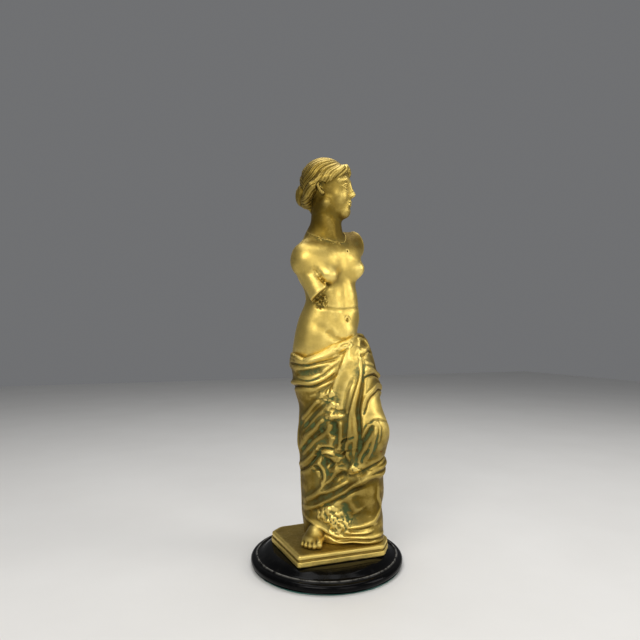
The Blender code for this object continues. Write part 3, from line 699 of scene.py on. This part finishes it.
def head_field(points):
    """A calm, plain classical head with waved hair drawn back to a low knot."""
    at = to_local(points, HEAD)
    m = mirrored(at)
    _, y, z = m.T

    skin = modelled(ball(m, (0, 0.5, 28), (14.4, 17.4, 16.8)), m, FACE)

    # Hair: a cap open round the face and ears, then its roll and knot
    hair = ball(m, (0, 2.2, 29), (15.9, 18.3, 17.0))
    hair = carve(hair, ball(m, (0, -17.5, 15.2), (12.4, 15.5, 20.6)), 1.5)
    hair = carve(hair, ball(m, (13, -7, 8), (9, 11, 11)), 2)
    hair = carve(hair, z - 14.5 + 0.6 * y, 3)
    hair = modelled(hair, m, HAIR)

    # Locks fan out from the parting, sweep back over the ears and gather at the knot
    axis = np.array((0, 0.764, -0.645))
    offset = at - (0, 2.5, 31.2)
    along = offset @ axis
    swept = np.arctan2(np.abs(offset[:, 0]), offset @ (0, 0.645, 0.764))
    swept = swept + 0.06 * np.sin(along * 0.34 + 2.0 * swept) + 0.03 * lumps(at, 7, 61)
    ring = np.hypot(at[:, 0], z - 20.4)
    coil = ring * 0.9 + np.arctan2(at[:, 0], z - 20.4)
    at_knot = smooth_step(y - 0.4 * np.maximum(20 - z, 0), 13.5, 17.0)
    locks = (1 - at_knot) * np.abs(np.sin(swept * 3.7 + 0.6)) + at_knot * np.abs(np.sin(coil * 0.5))
    strands = (1 - at_knot) * np.abs(np.sin(swept * 12)) + at_knot * np.abs(np.sin(coil * 1.6))
    threads = (1 - at_knot) * np.sin(swept * 60) + at_knot * np.sin(coil * 6)
    wave = 0.95 * np.sqrt(locks) + 0.42 * np.sqrt(strands) + 0.05 * threads - 0.95
    hair = hair - wave * smooth_step(skin - hair, -0.2, 1.2) * smooth_step(z + 0.6 * y, 10, 16)

    trunk = np.full(len(points), FAR)
    low = np.flatnonzero(points[:, 2] < TRUNK_TOP)
    trunk[low] = trunk_field(points[low])
    return join(join(skin, trunk, 4.5), hair, 0.5)


def neck_solder(points):
    """Uneven solder left along the neck joint, in a shallow crease."""
    at = to_local(points, NECK)
    height = plane(points, NECK_SEAM)
    round_neck = smooth_step(15.5 - off_axis(at), -1.5, 1.5) * smooth_step(-at[:, 1], -8, 0)
    beads = np.maximum(lumps(points, 2.1, 9) + 0.5 * lumps(points, 0.9, 10), 0)
    solder = 0.75 * np.exp(-((height + 0.3) / 1.0) ** 2) * beads - 0.25 * np.exp(-(height / 0.7) ** 2)
    return solder * round_neck


# The cloth's upper edge as (bearing, height) points, and the spots of rough metal with their radius
CLOTH_EDGE = ((-180, 160), (-130, 155), (-81, 153.5), (-60, 150.5), (-37, 155), (-14, 160.5), (16, 164.5),
              (60, 169.5), (110, 168), (150, 163), (180, 160))
ROUGH_SPOTS = ((-36, 39.5, 7), (-26, 37.5, 9), (-14, 34, 8.5), (-4, 30.5, 6), (13, 71, 5), (-30, 125, 5.5),
               (-20, 113, 6))


def cloth_base(points):
    """The wrapped cloth before its folds."""
    return masses(points, DRAPERY_MASSES)


def on_cloth(bearing, height):
    """The point of the cloth's outside at a bearing and height."""
    return bearing_points(cloth_base, CLOTH_AXIS, ((bearing, height), (bearing + 1, height)), 2)[0]


def make_cloth_field():
    """The cloth with its folds, the hem and the foot."""
    tables = GIRDLE_FOLDS + CASCADE_FOLDS + LOWER_FOLDS + HEM_FOLDS + BACK_FOLDS
    folds = lay_folds(cloth_base, CLOTH_AXIS, tables)
    spots = [(on_cloth(bearing, height), radius) for bearing, height, radius in ROUGH_SPOTS]
    edge_bearing, edge_height = np.array(CLOTH_EDGE, float).T

    def field(points):
        total = cloth_base(points)
        close = np.flatnonzero(np.abs(total) < FOLD_REACH)
        total[close] -= relief(points[close], folds)
        total += 0.22 * waves(points, 11, 21) + 0.12 * lumps(points, 5, 22)
        for centre, radius in spots:
            offset = np.sqrt(((points - centre) ** 2).sum(1))
            ragged = offset / radius + 0.35 * lumps(points, 3.2, 31)
            rough = smooth_step(-ragged, -1.1, -0.75)
            total -= rough * (0.55 + 0.5 * lumps(points, 2.9, 32) + 0.28 * lumps(points, 1.4, 33))
        bearing = np.degrees(np.arctan2(points[:, 0] - BODY_AXIS[0], BODY_AXIS[1] - points[:, 1]))
        edge = np.interp(bearing, edge_bearing, edge_height) + 0.5 * waves(points * (1, 1, 0.1), 9, 41)
        total += 1.8 * smooth_step(points[:, 2] - edge, -6, 0.5)
        total = carve(total, (edge - points[:, 2]) * 0.9, 1.8)
        total = join(total, foot_field(to_local(points, FOOT)), 1.0)
        return np.maximum(total, PLINTH_TOP + 0.05 - points[:, 2])
    return field


# Each toe's tip in the foot's frame, and its radius
TOES = ((5.0, -4.4, 2.3), (1.7, -5.6, 1.75), (-1.4, -5.0, 1.65), (-4.3, -3.6, 1.55), (-6.9, -1.6, 1.45))


def foot_field(at):
    """The front of a bare foot: its arch and five toes."""
    foot = join(ball(at, (-0.6, 6, 2.6), (7.6, 9.5, 3.6)), ball(at, (1.5, 12.5, 4.5), (6.5, 7.5, 8)), 5)
    for x, y, radius in TOES:
        toe = strip(at, ((x * 0.8, y + 7.5, 3.4), (x, y + 2.6, radius * 1.5), (x, y, radius * 0.95)),
                    (radius * 0.85, radius * 0.9, radius))
        foot = join(foot, toe, 0.8)
        nail = (x, y - radius * 0.6, radius * 1.8)
        foot = carve(foot, ball(at, nail, (radius * 0.5, radius * 0.6, 0.25)), 0.3)
    return foot


# The plinth's corners, and how far its sides stand back at each height
PLINTH_PLAN = ((-32.5, -31.5), (31, -33), (41, -20), (41, 10), (32, 31), (-28, 29), (-37, 21))
PLINTH_HEIGHTS = (11.3, 14.6, 14.9, 15.9, 16.2, 18.2, 19.0)
PLINTH_INSETS = (0.1, 0.1, 1.3, 1.3, 0.5, 0.5, 1.5)


def plinth_field(points):
    """The plinth: two bands with a groove, edges softened by wear."""
    plan = np.array(PLINTH_PLAN, float)
    sides = []
    for start, end in zip(plan, np.roll(plan, -1, axis=0)):
        along = (end - start) / np.linalg.norm(end - start)
        outward = np.array((along[1], -along[0]))
        sides.append((points[:, :2] - start) @ outward)
    outline = sides[0]
    for side in sides[1:]:
        outline = carve(outline, -side, 2.0)
    outline = outline + np.interp(points[:, 2], PLINTH_HEIGHTS, PLINTH_INSETS)
    top = points[:, 2] - PLINTH_TOP + 0.12
    bottom = PLINTH_HEIGHTS[0] + 0.02 - points[:, 2]
    total = carve(carve(outline, -top, 0.7), -bottom, 0.5)
    return total + 0.12 * waves(points, 9, 51) + 0.05 * waves(points, 2.2, 52)


# ---------------------------------------------------------------------------------------------
# Materials
# ---------------------------------------------------------------------------------------------

class Value:
    """A node's output, ready for arithmetic."""

    def __init__(self, paint, socket):
        self.paint = paint
        self.socket = socket

    def __add__(self, other):
        return self.paint.math("ADD", self, other)

    def __sub__(self, other):
        return self.paint.math("SUBTRACT", self, other)

    def __rsub__(self, other):
        return self.paint.math("SUBTRACT", other, self)

    def __mul__(self, other):
        return self.paint.math("MULTIPLY", self, other)


class Paint:
    """A material's node tree in the making."""

    def __init__(self, name):
        self.material = bpy.data.materials.new(name)
        self.material.use_nodes = True
        self.tree = self.material.node_tree
        self.shader = self.tree.nodes["Principled BSDF"]
        self.where = self.tree.nodes.new("ShaderNodeTexCoord").outputs["Object"]

    def set(self, **inputs):
        """Sets the shader's inputs, each named in small letters, to numbers, colours or values."""
        for name, value in inputs.items():
            socket = "IOR" if name == "ior" else name.replace("_", " ").title()
            self.put(value, self.shader.inputs[socket])
        return self.material

    def put(self, value, socket):
        """Links a value, or sets a constant."""
        if isinstance(value, Value):
            self.tree.links.new(value.socket, socket)
        else:
            socket.default_value = (*value, 1) if isinstance(value, tuple) else value

    def node(self, kind, inputs, output, **settings):
        """A new node, its settings and inputs, and the value that it gives."""
        made = self.tree.nodes.new("ShaderNode" + kind)
        for name, value in settings.items():
            setattr(made, name, value)
        for name, value in inputs.items():
            self.put(value, made.inputs[name])
        return Value(self, made.outputs[output])

    def noise(self, scale, detail=3.0, roughness=0.5, distortion=0.0):
        """Noise from 0 to 1; scale is in waves per metre."""
        where = Value(self, self.where)
        inputs = {"Vector": where, "Scale": scale, "Detail": detail, "Roughness": roughness,
                  "Distortion": distortion}
        return self.node("TexNoise", inputs, "Fac")

    def attribute(self, name):
        """A number stored on the mesh."""
        return self.node("Attribute", {}, "Fac", attribute_name=name)

    def math(self, operation, a, b):
        """One arithmetic step."""
        return self.node("Math", {0: a, 1: b}, 0, operation=operation)

    def ramp(self, value, low, high, to_low=0.0, to_high=1.0):
        """Maps a range smoothly onto another."""
        inputs = {"Value": value, "From Min": low, "From Max": high, "To Min": to_low, "To Max": to_high}
        return self.node("MapRange", inputs, "Result", interpolation_type="SMOOTHSTEP")

    def mix(self, share, a, b):
        """Mixes two colours."""
        return self.node("Mix", {"Factor": share, "A": a, "B": b}, "Result", data_type="RGBA")

    def bump(self, height, distance, strength):
        """Raises the surface by a height texture."""
        inputs = {"Strength": strength, "Distance": distance, "Height": height}
        self.set(normal=self.node("Bump", inputs, "Normal"))


BRIGHT_BRONZE = (0.89, 0.685, 0.205)
HANDLED_AND_HIGHLIT_BRONZE = (0.62, 0.455, 0.115)
AGED_BRONZE = (0.160, 0.101, 0.012)
HOLLOW_BROWN = (0.085, 0.052, 0.008)
VERDIGRIS = (0.062, 0.092, 0.024)


def bronze_look():
    """Golden bronze: bright where it is handled and where painted highlights and painted light from above
    lie, brown where it is not, green in the deepest folds.
    """
    paint = Paint("aged_bronze")
    rub_and_highlight = paint.attribute("rub_and_highlight")
    mottle = paint.noise(420, 5, 0.65)
    grain = paint.noise(2600, 3, 0.6)

    # Hollows stay brown, and proud edges wear bright
    unevenness = (mottle - 0.5) * 0.20
    depth = paint.attribute("deep") + paint.attribute("fine") * 2.5 + unevenness
    hollow = paint.ramp(depth, 0.06, 0.75) * (1.0 - rub_and_highlight * 0.75)
    proud = paint.ramp(depth, 0.02, -0.26)
    patches = (paint.noise(65, 4, 0.6) - 0.5) * 0.45
    # The handled tone is real handling on the bare body. On the cloth and head it is also painted highlight
    # and painted light from above.
    handled_and_highlit = paint.ramp(rub_and_highlight + patches, 0.05, 0.95)
    colour = paint.mix(handled_and_highlit, AGED_BRONZE, HANDLED_AND_HIGHLIT_BRONZE)
    colour = paint.mix(proud * (handled_and_highlit * 0.7 + 0.3), colour, BRIGHT_BRONZE)
    colour = paint.mix(hollow, colour, HOLLOW_BROWN)
    pitting = paint.ramp(grain, 0.66, 0.8, 0, 0.5)
    colour = paint.mix(pitting, colour, HOLLOW_BROWN)

    # Verdigris, in flecks
    flecks = paint.ramp(paint.noise(260, 5, 0.7), 0.36, 0.58)
    green = paint.attribute("green") * flecks * paint.ramp(depth, -0.12, 0.12)
    colour = paint.mix(green, colour, VERDIGRIS)

    dullness = paint.ramp(mottle, 0.3, 0.75, 0.47, 0.60) + hollow * 0.10 - handled_and_highlit * 0.08 + green * 0.3
    metal = 1.0 - green * 0.85 - hollow * 0.15
    paint.bump(mottle * 0.7 + grain * 0.3, 0.00022, 0.55)
    return paint.set(base_color=colour, roughness=dullness, metallic=metal)


def plain_metal(name, colour, roughness):
    """Metal of a small fitting, with fine scratches and tarnish."""
    paint = Paint(name)
    spots = paint.noise(900, 4, 0.7)
    tarnished = paint.mix(paint.ramp(spots, 0.4, 0.7), colour, tuple(0.45 * part for part in colour))
    dullness = paint.ramp(spots, 0.3, 0.8, roughness, roughness + 0.25)
    paint.bump(paint.noise(3000, 2), 0.0001, 0.4)
    return paint.set(base_color=tarnished, roughness=dullness, metallic=1.0)


def black_look():
    """Polished black base: dust in its grooves, fine scratches, and grey on the fine ring, partly chips
    rubbed through and partly a painted highlight.
    """
    paint = Paint("polished_black")
    dust = paint.noise(160, 5, 0.65)
    scratch = paint.noise(1500, 2, 0.8, 2.0)
    # Grey on the fine ring, broken up by noise: partly chips rubbed through the black, partly a painted
    # highlight along the ring.
    edge = paint.attribute("ring_wear_and_highlight") * paint.ramp(paint.noise(240, 4, 0.7), 0.35, 0.6)
    colour = paint.mix(paint.ramp(dust, 0.5, 0.8, 0, 0.04), (0.002, 0.002, 0.0022), (0.12, 0.115, 0.10))
    colour = paint.mix(edge, colour, (0.17, 0.165, 0.15))
    dullness = paint.ramp(dust, 0.3, 0.8, 0.10, 0.24) + edge * 0.3
    paint.bump(dust + scratch * 0.15, 0.00012, 0.35)
    return paint.set(base_color=colour, roughness=dullness, ior=1.16)


def felt_look():
    """Teal-green felt."""
    paint = Paint("teal_felt")
    fibre = paint.noise(2400, 6, 0.8, 1.5)
    paint.bump(fibre, 0.0004, 0.8)
    colour = paint.mix(fibre, (0.006, 0.06, 0.05), (0.03, 0.20, 0.16))
    return paint.set(base_color=colour, roughness=0.95, sheen_weight=0.4)


def floor_look():
    """Pale, faintly veined tabletop."""
    paint = Paint("pale_floor")
    colour = paint.mix(paint.noise(9, 5, 0.6), (0.70, 0.69, 0.67), (0.78, 0.775, 0.76))
    return paint.set(base_color=colour, roughness=0.45)


# ---------------------------------------------------------------------------------------------
# Turned pieces
# ---------------------------------------------------------------------------------------------

def turned(name, outline, look, segments=288, wobble=None):
    """A body turned from a closed outline of (radius, height) points in millimetres."""
    outline = np.array(outline, float)
    angles = np.linspace(0, 2 * np.pi, segments, endpoint=False)
    radius = np.tile(outline[:, 0], (segments, 1))
    if wobble:
        radius = radius + wobble(outline, angles)
    height = np.tile(outline[:, 1], (segments, 1))
    across = radius * np.cos(angles)[:, None]
    deep = radius * np.sin(angles)[:, None]
    points = np.stack((across, deep, height), -1).reshape(-1, 3)
    count = len(outline)
    ring = np.arange(segments)[:, None] * count
    after = np.roll(ring, -1, axis=0)
    step = np.arange(count)[None]
    following = (step + 1) % count
    quads = np.stack((ring + step, after + step, after + following, ring + following), -1).reshape(-1, 4)
    mesh = bpy.data.meshes.new(name)
    mesh.from_pydata((points * MM).tolist(), [], quads.tolist())
    bm = bmesh.new()
    bm.from_mesh(mesh)
    bmesh.ops.recalc_face_normals(bm, faces=bm.faces[:])
    bm.to_mesh(mesh)
    bm.free()
    mesh.shade_smooth()
    mesh.set_sharp_from_angle(angle=math.radians(38))
    return add_object(name, mesh, look)


def arc(centre, radius, first, last, steps):
    """Points of an arc, angles in degrees from outward towards up."""
    angles = np.radians(np.linspace(first, last, steps))
    return [(centre[0] + radius * math.cos(a), centre[1] + radius * math.sin(a)) for a in angles]


def make_base():
    """The round base: bead rim, a fine ring, a cove and the raised top."""
    low, high = (corner[2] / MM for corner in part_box("base_disc"))
    outline = [(3.2, high), (3.2, 6.4), (10, 6.4), (10, low), (52, low), (54.8, low)]
    outline += arc((55.7 - 2.6, low + 2.7), 2.6, -60, 90, 22)
    outline += [(52.4, low + 5.35), (52.0, low + 5.7), (51.7, low + 6.15)]
    outline += arc((51.1, low + 6.0), 0.55, 20, 160, 8)
    outline += [(50.4, low + 5.9), (49.4, low + 6.1), (48.0, low + 6.7)]
    outline += [(46.0, high - 1.6), (44.5, high - 0.9), (43, high - 0.45), (41, high - 0.12), (38, high)]
    base = turned("turned_base", outline, black_look())
    points = np.array([vertex.co for vertex in base.data.vertices]) / MM
    radius = np.hypot(points[:, 0], points[:, 1])
    # The fine ring's mask, for grey that is partly rubbed-through chips and partly a painted highlight.
    ring_wear_and_highlight_mask = np.exp(-((radius - 51.2) / 0.45) ** 2) * (points[:, 2] > low + 5.6)
    store(base.data, "ring_wear_and_highlight", ring_wear_and_highlight_mask)
    return base


def make_felt():
    """The felt, cut by hand: its edge wanders a little."""
    low, high = (corner[2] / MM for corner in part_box("felt_pad"))
    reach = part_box("felt_pad")[1][0] / MM
    outline = [(0.4, high), (0.4, low), (reach - 1.2, low), (reach - 0.35, low + 0.15),
               (reach - 0.1, low + 0.5), (reach - 0.35, high - 0.1), (reach - 1, high)]

    def wobble(points, angles):
        waver = 0.25 * np.sin(angles * 5 + 1) + 0.15 * np.sin(angles * 13) + 0.1 * np.sin(angles * 47 + 2)
        return (waver - 0.3)[:, None] * (points[:, 0] > reach - 2)
    return turned("felt_underside", outline, felt_look(), wobble=wobble)


# ---------------------------------------------------------------------------------------------
# Assembly
# ---------------------------------------------------------------------------------------------

# Where verdigris has gathered on the drapery: bearing, height and radius
GREEN_SPOTS = (
    (11, 96, 12), (9, 108, 9), (13, 80, 12), (18, 92, 9), (-17, 101, 9), (-30, 76, 11), (-60, 94, 13),
    (-76, 88, 10), (-58, 140, 12), (-8, 47, 12), (-10, 40, 9), (-40, 76, 9), (30, 139, 10), (-20, 120, 9),
    (0, 36, 8), (140, 60, 18), (180, 110, 16), (-140, 50, 18), (-120, 100, 14),
)

# Where hands and cloths have rubbed the drapery bright, and painted highlights on some of its high points:
# bearing, height, radius, how much
RUBBED_AND_HIGHLIGHT_SPOTS = (
    (4, 146, 13, 0.75), (-6, 130, 12, 0.8), (-14, 120, 10, 0.6), (18, 158, 12, 0.5), (-34, 150, 16, 0.45),
    (-60, 136, 14, 0.3), (34, 116, 12, 0.7), (46, 106, 13, 0.6), (-26, 37, 11, 0.95), (-10, 32, 9, 0.9),
    (13, 71, 8, 0.8), (20, 24, 16, 0.6), (-45, 62, 8, 0.4), (-24, 84, 7, 0.5), (-20, 112, 9, 0.4),
    (40, 150, 14, 0.4), (-20, 20, 12, 0.6),
)

UNDER_STUMP = (-18, -9, -21)            # in the chest's frame, as is the cleft beside the stump
CLEFT = (-13.5, -15, -6)


def near_spots(points, spots):
    """Soft spots on the cloth, from bearing, height, radius and, where it isn't 1, amount."""
    total = np.zeros(len(points))
    for bearing, height, radius, *amount in spots:
        total += (amount or [1])[0] * near_to(points, on_cloth(bearing, height), radius ** 2)
    return total


def green_on_cloth(points, normals):
    """Where verdigris has gathered on the cloth."""
    return np.clip(0.08 + near_spots(points, GREEN_SPOTS), 0, 1)


def handling_and_highlight_on_cloth(points, normals):
    """How much the cloth has been handled, plus painted highlights at some spots and painted light from
    above: brighter where it faces up.
    """
    # The normal's upward part is painted light from above: brighter facing up, darker facing down.
    return np.clip(0.06 + near_spots(points, RUBBED_AND_HIGHLIGHT_SPOTS) + 0.12 * normals[:, 2], 0, 1)


def seam_on_body(points, normals):
    """The laps between castings, whose cut edges are not worn edges; the open cleft is left out."""
    trunk = trunk_field(points)
    stumps = np.minimum(np.abs(trunk - right_arm_field(points)), np.abs(trunk - left_arm_field(points)))
    chest = to_local(points, CHEST)
    cleft = smooth_step(-chest[:, 2], -3, 1) * smooth_step(-chest[:, 0], 2, 6)
    stumps = np.exp(-(stumps / 3.2) ** 2) * (1 - cleft)
    width = smooth_step(NECK_REACH + 3 - off_axis(to_local(points, NECK)), 0, 2)
    return np.clip(np.maximum(stumps, 0.5 * joint_band(points, 2.2) * width), 0, 1)


def seam_on_head(points, normals):
    """The neck joint, as the head meets it."""
    return 0.5 * joint_band(points, 2.2)


def green_on_body(points, normals):
    """Verdigris at the neck joint and under the right stump."""
    pit = near_to(to_local(points, CHEST), UNDER_STUMP, 50)
    return np.clip(0.6 * joint_band(points, 1.7) + 0.3 * pit + 0.03, 0, 1)


def rub_on_body(points, normals):
    """The bare torso is handled most; less under the arm and at the neck."""
    chest = to_local(points, CHEST)
    hidden = near_to(chest, UNDER_STUMP, 90) + 1.15 * near_to(chest, CLEFT, 30)
    neck = smooth_step(plane(points, NECK_SEAM), -9, 1)
    return np.clip(0.92 - 0.7 * hidden - 0.80 * neck, 0, 1)


def green_on_head(points, normals):
    """Verdigris at the neck joint, by the ears and, thinly, all over."""
    ear = near_to(mirrored(to_local(points, HEAD)), (13, 0, 22), 16)
    return np.clip(0.6 * joint_band(points, 1.7) + 0.2 * ear + 0.12, 0, 1)


def handling_and_top_light_on_head(points, normals):
    """Bright on the face, darker in the hair and down the neck, with painted light from above on surfaces
    that face up.
    """
    face = near_to(to_local(points, HEAD), (0, -16, 18), 260)
    # Painted light from above: surfaces facing up are made brighter.
    lit_from_above = 0.3 * smooth_step(normals[:, 2], 0.2, 0.9)
    joint = 0.10 * smooth_step(-plane(points, NECK_SEAM), -8, 0)
    return np.clip(0.02 + 0.75 * face + lit_from_above + joint, 0, 1)


def rub_on_plinth(points, normals):
    """The plinth's bands are brighter than its top."""
    return 0.66 - 0.36 * smooth_step(normals[:, 2], 0.5, 0.95)


def no_green(points, normals):
    """Clean metal."""
    return np.full(len(points), 0.05)


def carry(piece, node):
    """A sculpted piece stands for its CAD node and rides with the statuette."""
    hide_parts(node)
    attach(piece, "root")


LAP = 0.7               # how far the torso goes on under the neck and the stumps
PROUD = 0.02            # how far the neck and the stumps stand over it


def make_figure():
    """Every casting of the figure and its plinth."""
    bronze = bronze_look()
    head_tones = {"green": green_on_head, "rub_and_highlight": handling_and_top_light_on_head, "seam": seam_on_head}
    body_tones = {"green": green_on_body, "rub_and_highlight": rub_on_body, "seam": seam_on_body}
    cloth_tones = {"green": green_on_cloth, "rub_and_highlight": handling_and_highlight_on_cloth}
    plinth_tones = {"green": no_green, "rub_and_highlight": rub_on_plinth}

    def head(points):
        """The head down to the neck joint."""
        return np.maximum(head_field(points) - neck_solder(points) - PROUD, -above_neck(points))

    def torso(points):
        """The bare torso, down into the cloth; it laps a little under the head and stumps."""
        skin, right, left = body_field(points)
        skin = np.maximum(skin, np.maximum(above_neck(points) - LAP, -plane(points, TUCK)))
        return np.maximum(skin, np.maximum(right, left) - LAP)

    def right_stump(points):
        """The right stump alone."""
        skin, right, _ = body_field(points)
        return np.maximum(skin - PROUD, -right)

    def left_stump(points):
        """The left stump alone."""
        skin, _, left = body_field(points)
        return np.maximum(skin - PROUD, -left)

    # Piece, CAD node, field, box, grid step, tones
    cloth = make_cloth_field()
    pieces = (
        ("head_and_hair", "head_casting", head, (-28, -28, 232), (28, 28, 304), 0.33, head_tones),
        ("torso", "torso_casting", torso, (-34, -32, 140), (40, 30, 254), 0.46, body_tones),
        ("right_stump", "right_arm_casting", right_stump, (-34, -32, 186), (8, 18, 240), 0.4, body_tones),
        ("left_stump", "left_arm_casting", left_stump, (4, -18, 214), (42, 32, 258), 0.4, body_tones),
        ("wrapped_cloth", "drapery_casting", cloth, (-40, -52, 17), (50, 38, 178), 0.6, cloth_tones),
        ("plinth", "plinth_casting", plinth_field, (-41, -38, 9), (46, 36, 22), 0.5, plinth_tones),
    )
    for name, node, field, low, high, step, tones in pieces:
        carry(sculpt(name, field, low, high, step, bronze, tones), node)


def make_fittings():
    """Finishes for the pins, rod, nuts and plugs, which keep their CAD shapes."""
    brass = plain_metal("drawn_brass", (0.60, 0.43, 0.15), 0.28)
    steel = plain_metal("plain_steel", (0.42, 0.42, 0.43), 0.32)
    copper = plain_metal("tarnished_copper", (0.22, 0.07, 0.03), 0.42)
    fittings = (
        (brass, ("neck_dowel", "right_arm_dowel", "left_arm_dowel", "waist_dowel_left", "waist_dowel_right",
                 "rod_bridge")),
        (steel, ("tie_rod", "rod_lock_nut", "base_washer", "base_nut", "plinth_pin_front",
                 "plinth_pin_back")),
        (copper, ("core_plug_shin", "core_plug_chest")),
    )
    for look, names in fittings:
        for name in names:
            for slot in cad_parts[name].material_slots:
                slot.link = "OBJECT"
                slot.material = look


def make_camera():
    """The photograph's view: from the front and to her right, level with her hips."""
    azimuth, distance, height = math.radians(-21), 0.398, 0.167
    camera = bpy.data.objects.new("camera", bpy.data.cameras.new("camera"))
    camera.data.sensor_width = 36
    camera.data.lens = 29.8
    camera.data.clip_start = 0.02
    camera.location = (math.sin(azimuth) * distance, -math.cos(azimuth) * distance, FLOOR_Z + height)
    aside, upward = math.radians(0.70), math.radians(1.62)
    forward = Vector((-math.sin(azimuth), math.cos(azimuth), math.tan(upward)))
    forward.rotate(Matrix.Rotation(aside, 3, "Z"))
    camera.rotation_euler = forward.to_track_quat("-Z", "Y").to_euler()
    bpy.context.scene.collection.objects.link(camera)
    bpy.context.scene.camera = camera


FLOOR_REACH = 1.6
MIDDLE = Vector((0, 0, 0.17))


def add_light(name, place, size, power, colour):
    """A soft rectangular light, aimed at the figure's middle."""
    lamp = bpy.data.lights.new(name, "AREA")
    lamp.shape = "RECTANGLE"
    lamp.size, lamp.size_y = size
    lamp.energy = power
    lamp.color = colour
    made = bpy.data.objects.new(name, lamp)
    made.location = place
    made.rotation_euler = (MIDDLE - Vector(place)).to_track_quat("-Z", "Y").to_euler()
    bpy.context.scene.collection.objects.link(made)


def make_studio():
    """A pale floor, soft lights and a plain surround."""
    mesh = bpy.data.meshes.new("floor")
    corners = ((-1, -1), (1, -1), (1, 1), (-1, 1))
    mesh.from_pydata([(x * FLOOR_REACH, y * FLOOR_REACH, FLOOR_Z) for x, y in corners], [], [(0, 1, 2, 3)])
    add_object("floor", mesh, floor_look())

    # Name, place, size, power, colour; all look at the figure's middle
    warm, plain = (1.0, 0.98, 0.95), (1, 1, 1)
    for lamp in (
            ("key", (-0.48, -0.58, 0.70), (0.5, 0.5), 4.8, (1.0, 0.97, 0.92)),
            ("front", (0.15, -0.95, 0.40), (0.4, 0.6), 2.0, warm),
            ("side", (0.76, -0.50, 0.52), (0.4, 0.6), 3.2, warm),
            ("top", (0.05, 0.10, 0.95), (0.7, 0.7), 5.0, plain)):
        add_light(*lamp)

    world = bpy.data.worlds.new("surround")
    bpy.context.scene.world = world
    world.use_nodes = True
    shade = world.node_tree.nodes["Background"]
    shade.inputs["Color"].default_value = (0.62, 0.63, 0.65, 1)
    shade.inputs["Strength"].default_value = 0.26
    bpy.context.scene.view_settings.view_transform = "Standard"


def main():
    """Builds the pieces, the studio and the camera."""
    make_camera()
    make_studio()
    make_figure()
    make_fittings()
    carry(make_base(), "base_disc")
    carry(make_felt(), "felt_pad")


main()
